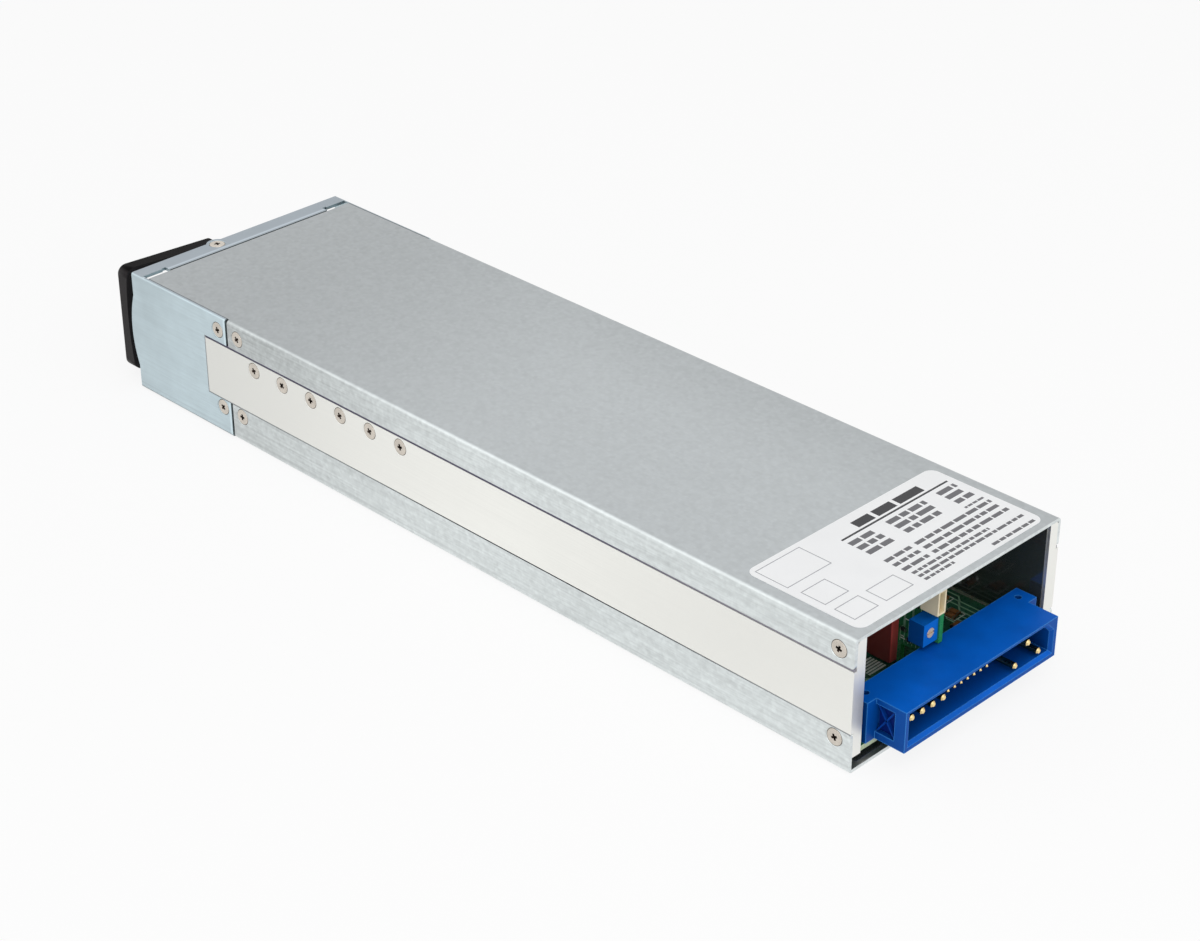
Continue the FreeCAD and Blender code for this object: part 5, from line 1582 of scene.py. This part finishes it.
@dataclass
class ControlBoard:
    """Upright board with its header, trimmer and small parts."""

    pin: float = 0.5
    pin_pitch: float = 2.0
    pin_count: int = 3
    pin_ends: Flat = (2.2, 0.9)
    pin_edge: float = 0.1
    skin: float = 0.03
    track: float = 0.28
    track_pitch: float = 1.35
    track_foot: float = 14.4
    track_margins: Flat = (0.7, 1.0)
    track_shift: float = 1.0
    track_bends: tuple[float, ...] = (18.5, 26.0, 21.0, 30.0, 24.0)
    legends: tuple[Rectangle, ...] = (
        (133.0, 15.2, 1.6, 0.35),
        (133.0, 15.9, 1.1, 0.35),
        (136.4, 17.6, 0.35, 2.2),
        (134.2, 21.6, 1.8, 0.35),
    )
    chips: tuple[Flat, ...] = (
        (133.0, 18.0),
        (135.2, 15.4),
        (133.4, 24.6),
        (136.6, 21.4),
        (137.2, 15.8),
        (136.8, 27.0),
    )
    controller: Corners = ((0.03, 133.0, 30.5), (1.2, 136.4, 35.5))
    controller_edge: float = 0.15
    header_joint: Flat = (142.4, 31.25)
    trimmer_joints: tuple[Flat, ...] = ((141.2, 22.0), (143.6, 23.6), (141.2, 25.2))
    foot_joints: tuple[Flat, Flat, int] = ((133.2, 16.0), (1.9, 0.0), 4)
    joint_size: float = 0.75
    header_edge: float = 0.15
    trimmer_edge: float = 0.2

    def build(self) -> None:
        """Make the header's pins, the board's tracks, its small parts and its solder."""
        low, high = span("control_board")
        self.build_pins()
        self.build_tracks(low, high)
        self.build_chips(high.x)
        self.build_solder(low.x)

    def build_pins(self) -> None:
        """Stand square pins in the header's cavity."""
        low, high = span("board_header")
        x, _, z = (low + high) / 2.0
        start, end = low.y + self.pin_ends[0], high.y - self.pin_ends[1]
        half = self.pin / 2.0
        shape = Shape()
        for number in range(self.pin_count):
            middle = z + self.pin_pitch * (number - (self.pin_count - 1) / 2.0)
            shape.box((x - half, start, middle - half), (x + half, end, middle + half), self.pin_edge)
        shape.piece("header_pins", (GOLD,), Slot.GOLD)

    def build_tracks(self, low: Vector, high: Vector) -> None:
        """Lay tracks and legend marks on the board's right face.

        Args:
            low: Board's lowest corner.
            high: Board's highest corner.
        """
        face = side_face(high.x)
        first, run = low.y + self.track_margins[0], (self.track_foot, high.z - self.track_margins[1])
        tracks = TrackGroup(first, self.track_pitch, run, self.track_shift, self.track_bends)
        shape = Shape()
        tracks.lay(shape, self.track, (0.0, self.skin), face)
        shape.finish_index = 1
        for mark in self.legends:
            shape.plate(rectangle(*mark), self.skin, self.skin * 2.0, face)
        shape.piece("control_board_tracks", (TRACK, LEGEND), Slot.BOARD)

    def build_chips(self, face: float) -> None:
        """Set small chip parts and one larger part on the board's right face.

        Args:
            face: Place of the face on X.
        """
        shape = Shape()
        for y, z in self.chips:
            UPRIGHT_CHIP.build(shape, (face, y, z))
        shape.finish_index = 0
        low, high = (moved(corner, (face, 0.0, 0.0)) for corner in self.controller)
        shape.box(low, high, self.controller_edge)
        shape.piece("control_board_chips", (BLACK, TIN), Slot.BLACK)

    def build_solder(self, face: float) -> None:
        """Set solder joints on the board's left face, behind the header and the trimmer.

        Args:
            face: Place of the face on X.
        """
        turn = Matrix.Rotation(-math.pi / 2.0, 4, "Y") @ Matrix.Scale(self.joint_size, 4)
        shape = Shape()
        spots = row_of(self.header_joint, (0.0, self.pin_pitch), self.pin_count)
        for y, z in (*spots, *self.trimmer_joints, *row_of(*self.foot_joints)):
            shape.turned(SOLDER, Matrix.Translation((face, y, z)) @ turn, SOLDER_STEPS)
        shape.piece("control_board_solder", (TIN,), Slot.STEEL)

    def dress(self) -> None:
        """Finish the board, header and trimmer."""
        dress(UPRIGHT_MASK, "control_board")
        dress(CREAM, "board_header", edge=self.header_edge)
        dress(TRIMMER_BLUE, "trimmer_body", edge=self.trimmer_edge)
        dress(BRASS, "trimmer_screw")


@dataclass
class MainBoard:
    """Main circuit board with its tracks, solder and the parts that stand on it."""

    skin: float = 0.035
    track: float = 0.5
    cross_rows: tuple[Flat, Flat, int] = ((-9.0, 131.9), (1.0, 1.15), 5)
    cross_bend: Flat = (12.4, 14.8)
    cross_length: float = 28.0
    track_groups: tuple[TrackGroup, ...] = (
        TrackGroup(11.6, 1.2, (115.6, 126.8), 1.6, (121.0, 122.4, 123.8, 121.0, 122.4, 123.8, 121.0)),
        TrackGroup(-36.4, 1.9, (118.4, 132.0), 1.8, (123.0, 124.5, 126.0, 123.0, 124.5, 126.0)),
    )
    hatch: tuple[Flat, Flat, int] = ((4.6, 125.3), (0.0, 1.0), 6)
    hatch_length: float = 6.4
    hatch_width: float = 0.65
    frames: tuple[Rectangle, ...] = (
        (-34.6, 119.6, 5.2, 3.2),
        (-30.4, 125.0, 4.6, 5.0),
        (-22.6, 119.4, 7.0, 4.2),
        (4.8, 118.0, 5.2, 4.6),
    )
    frame_line: float = 0.3
    joints: tuple[tuple[Flat, Flat, int], ...] = (
        ((9.0, 140.6), (2.54, 0.0), 10),
        ((-33.0, 140.4), (5.08, 0.0), 6),
        ((27.5, 116.4), (2.54, 0.0), 4),
        ((-36.0, 117.2), (2.54, 1.1), 4),
    )
    chips_across: tuple[Flat, ...] = (
        (5.2, 119.4),
        (-33.6, 120.4),
        (-20.8, 120.6),
        (-25.4, 131.2),
        (14.0, 133.5),
        (22.5, 136.5),
    )
    chips_along: tuple[Flat, ...] = ((-29.6, 126.0), (-27.4, 126.4))

    def build(self) -> None:
        """Make the tracks, solder joints and small parts."""
        top = span("main_board")[1].z
        self.build_tracks(top)
        self.build_solder(top)
        self.build_chips(top)

    def build_tracks(self, top: float) -> None:
        """Lay tracks, hatched fields and frames near the rear edge.

        Args:
            top: Height of the board's top face.
        """
        layer = (top, top + self.skin)
        shape = Shape()
        first, last = self.cross_bend
        for x, y in row_of(*self.cross_rows):
            aside = y - (last - first)
            path = [(x, y), (first, y), (last, aside), (x + self.cross_length, aside)]
            shape.ribbon(path, self.track, layer)
        for group in self.track_groups:
            group.lay(shape, self.track, layer)
        shape.finish_index = 1
        for x, y in row_of(*self.hatch):
            shape.ribbon([(x, y), (x + self.hatch_length, y)], self.hatch_width, layer)
        for outline in self.frames:
            corners = rectangle(*outline)
            shape.ribbon([*corners, corners[0]], self.frame_line, (top + self.skin, top + self.skin * 2.0))
        shape.piece("main_board_tracks", (TRACK, LEGEND), Slot.BOARD)

    def build_solder(self, top: float) -> None:
        """Set rows of solder joints along the connector and the front part.

        Args:
            top: Height of the board's top face.
        """
        shape = Shape()
        for joints in self.joints:
            for x, y in row_of(*joints):
                shape.turned(SOLDER, Matrix.Translation((x, y, top)), SOLDER_STEPS)
        shape.piece("main_board_solder", (TIN,), Slot.STEEL)

    def build_chips(self, top: float) -> None:
        """Stand small chip parts with tinned ends on the board.

        Args:
            top: Height of the board's top face.
        """
        shape = Shape()
        for chip, spots in ((CHIP_ACROSS, self.chips_across), (CHIP_ALONG, self.chips_along)):
            for spot in spots:
                chip.build(shape, (*spot, top))
        shape.piece("main_board_chips", (CHIP, TIN), Slot.BLACK)

    def dress(self) -> None:
        """Finish the board, its films and what stands on it."""
        dress(MASK, "main_board")
        dress(FILM, "floor_film", "side_film")
        dress(STEEL, "board_standoffs", "clamp_strip_right", "clamp_strip_left")
        dress(RED, "film_capacitor")
        dress(GREY, "suppression_capacitor")
        dress(BLACK, "relay", "bridge_rectifier", "power_transistors_right", "power_transistors_left")
        dress(SLEEVE, "bulk_capacitors", "output_capacitors")
        dress(CERAMIC, "input_fuse")
        for name in ("filter_choke", "boost_inductor", "output_inductor"):
            dress(FERRITE, f"{name}_core")
            dress(COPPER, f"{name}_winding")
        dress(FERRITE, "transformer_core")
        dress(TAPE, "transformer_winding")


@dataclass(frozen=True)
class Lamp:
    """Soft lamp that faces the object."""

    name: str
    place: Point
    power: float
    size: Flat
    target: Point = (0.0, 0.0, 0.02)

    def build(self) -> None:
        """Hang the lamp."""
        data = bpy.data.lights.new(self.name, "AREA")
        data.energy = self.power
        data.shape = "RECTANGLE"
        data.size, data.size_y = self.size
        aimed(new_object(self.name, data), self.place, Vector(self.target) - Vector(self.place))


@dataclass
class Studio:
    """Floor, lamps, sky and the camera at the photograph's angle."""

    eye: Point = (0.47577, 0.49202, 0.40327)
    azimuth: float = 134.9
    elevation: float = 29.767
    lens: float = 79.3
    sensor: float = 36.0
    clip: Flat = (0.01, 100.0)
    floor_size: float = 12.0
    floor_height: float = -0.0002
    floor_colour: Colour = (0.92, 0.92, 0.92, 1.0)
    floor_glow: float = 0.86
    sky: float = 0.55
    lamps: tuple[Lamp, ...] = (
        Lamp("roof", (0.1, 0.3, 1.2), 1.8, (0.8, 0.8)),
        Lamp("bend", (0.6, -0.73, 0.75), 1.0, (0.95, 0.95)),
        Lamp("rear", (0.44, 0.83, 0.62), 6.6, (2.2, 1.0)),
    )

    def build_floor(self) -> None:
        """Lay a pale floor that keeps a soft shadow."""
        half = self.floor_size / 2.0
        data = bpy.data.meshes.new("floor")
        corners = [(x, y, 0.0) for x, y in rectangle(-half, -half, self.floor_size, self.floor_size)]
        data.from_pydata(corners, [], [(0, 1, 2, 3)])
        floor = new_object("floor", data)
        floor.location.z = self.floor_height
        material = bpy.data.materials.new("pale floor")
        nodes = Backdrop(material)
        paper = nodes.node("ShaderNodeBsdfDiffuse", {"Color": self.floor_colour})
        glow = nodes.node("ShaderNodeEmission", {})
        share = nodes.combined(nodes.seen(), self.floor_glow, Operation.MULTIPLY)
        nodes.lay(share, paper, glow, "ShaderNodeOutputMaterial")
        data.materials.append(material)

    def build_sky(self) -> None:
        """Light the scene evenly, with white where the camera sees the sky."""
        world = bpy.data.worlds.new("studio")
        nodes = Backdrop(world)
        soft = nodes.node("ShaderNodeBackground", {"Color": WHITE, "Strength": self.sky})
        white = nodes.node("ShaderNodeBackground", {"Color": WHITE})
        nodes.lay(nodes.seen(), soft, white, "ShaderNodeOutputWorld")
        bpy.context.scene.world = world

    def build_camera(self) -> None:
        """Set the camera where the photograph was taken from."""
        data = bpy.data.cameras.new("camera")
        data.lens = self.lens
        data.sensor_width = self.sensor
        data.clip_start, data.clip_end = self.clip
        camera = new_object("camera", data)
        turn, lift = math.radians(self.azimuth), math.radians(self.elevation)
        back = Vector((math.sin(turn) * math.cos(lift), -math.cos(turn) * math.cos(lift), math.sin(lift)))
        aimed(camera, self.eye, -back)
        bpy.context.scene.camera = camera

    def build(self) -> None:
        """Set up the whole studio."""
        self.build_floor()
        self.build_sky()
        for lamp in self.lamps:
            lamp.build()
        self.build_camera()
        bpy.context.scene.view_settings.view_transform = "Standard"


def screw_groups() -> Iterator[ScrewGroup]:
    """Give the groups of screws in order.

    Returns:
        One group after another.
    """
    for node in ("cover_screws", "cap_screws", "heat_sink_screws"):
        yield ScrewGroup(node, Facing.SIDES)
    yield ScrewGroup("handle_pivot_screws", Facing.ROOF_AND_FLOOR)
    yield ScrewGroup("fan_screws", Facing.FRONT)
    for node, facing in (("board_screws", Facing.UP), ("connector_screws", Facing.DOWN)):
        yield ScrewGroup(node, facing, shank=1.2, cross=(1.1, 0.34), depth=0.8, pan=True)


def main() -> None:
    """Build and dress every sub-assembly, then the studio."""
    logging.basicConfig(level=logging.INFO, format="%(name)s: %(message)s")
    case, connector, control, board = SheetCase(), RearConnector(), ControlBoard(), MainBoard()
    for assembly in (*screw_groups(), case, connector, control, board):
        assembly.build()
    for assembly in (case, PullHandle(), CoolingFan(), connector, control, board):
        assembly.dress()
    Studio().build()


if __name__ == "__main__":
    main()
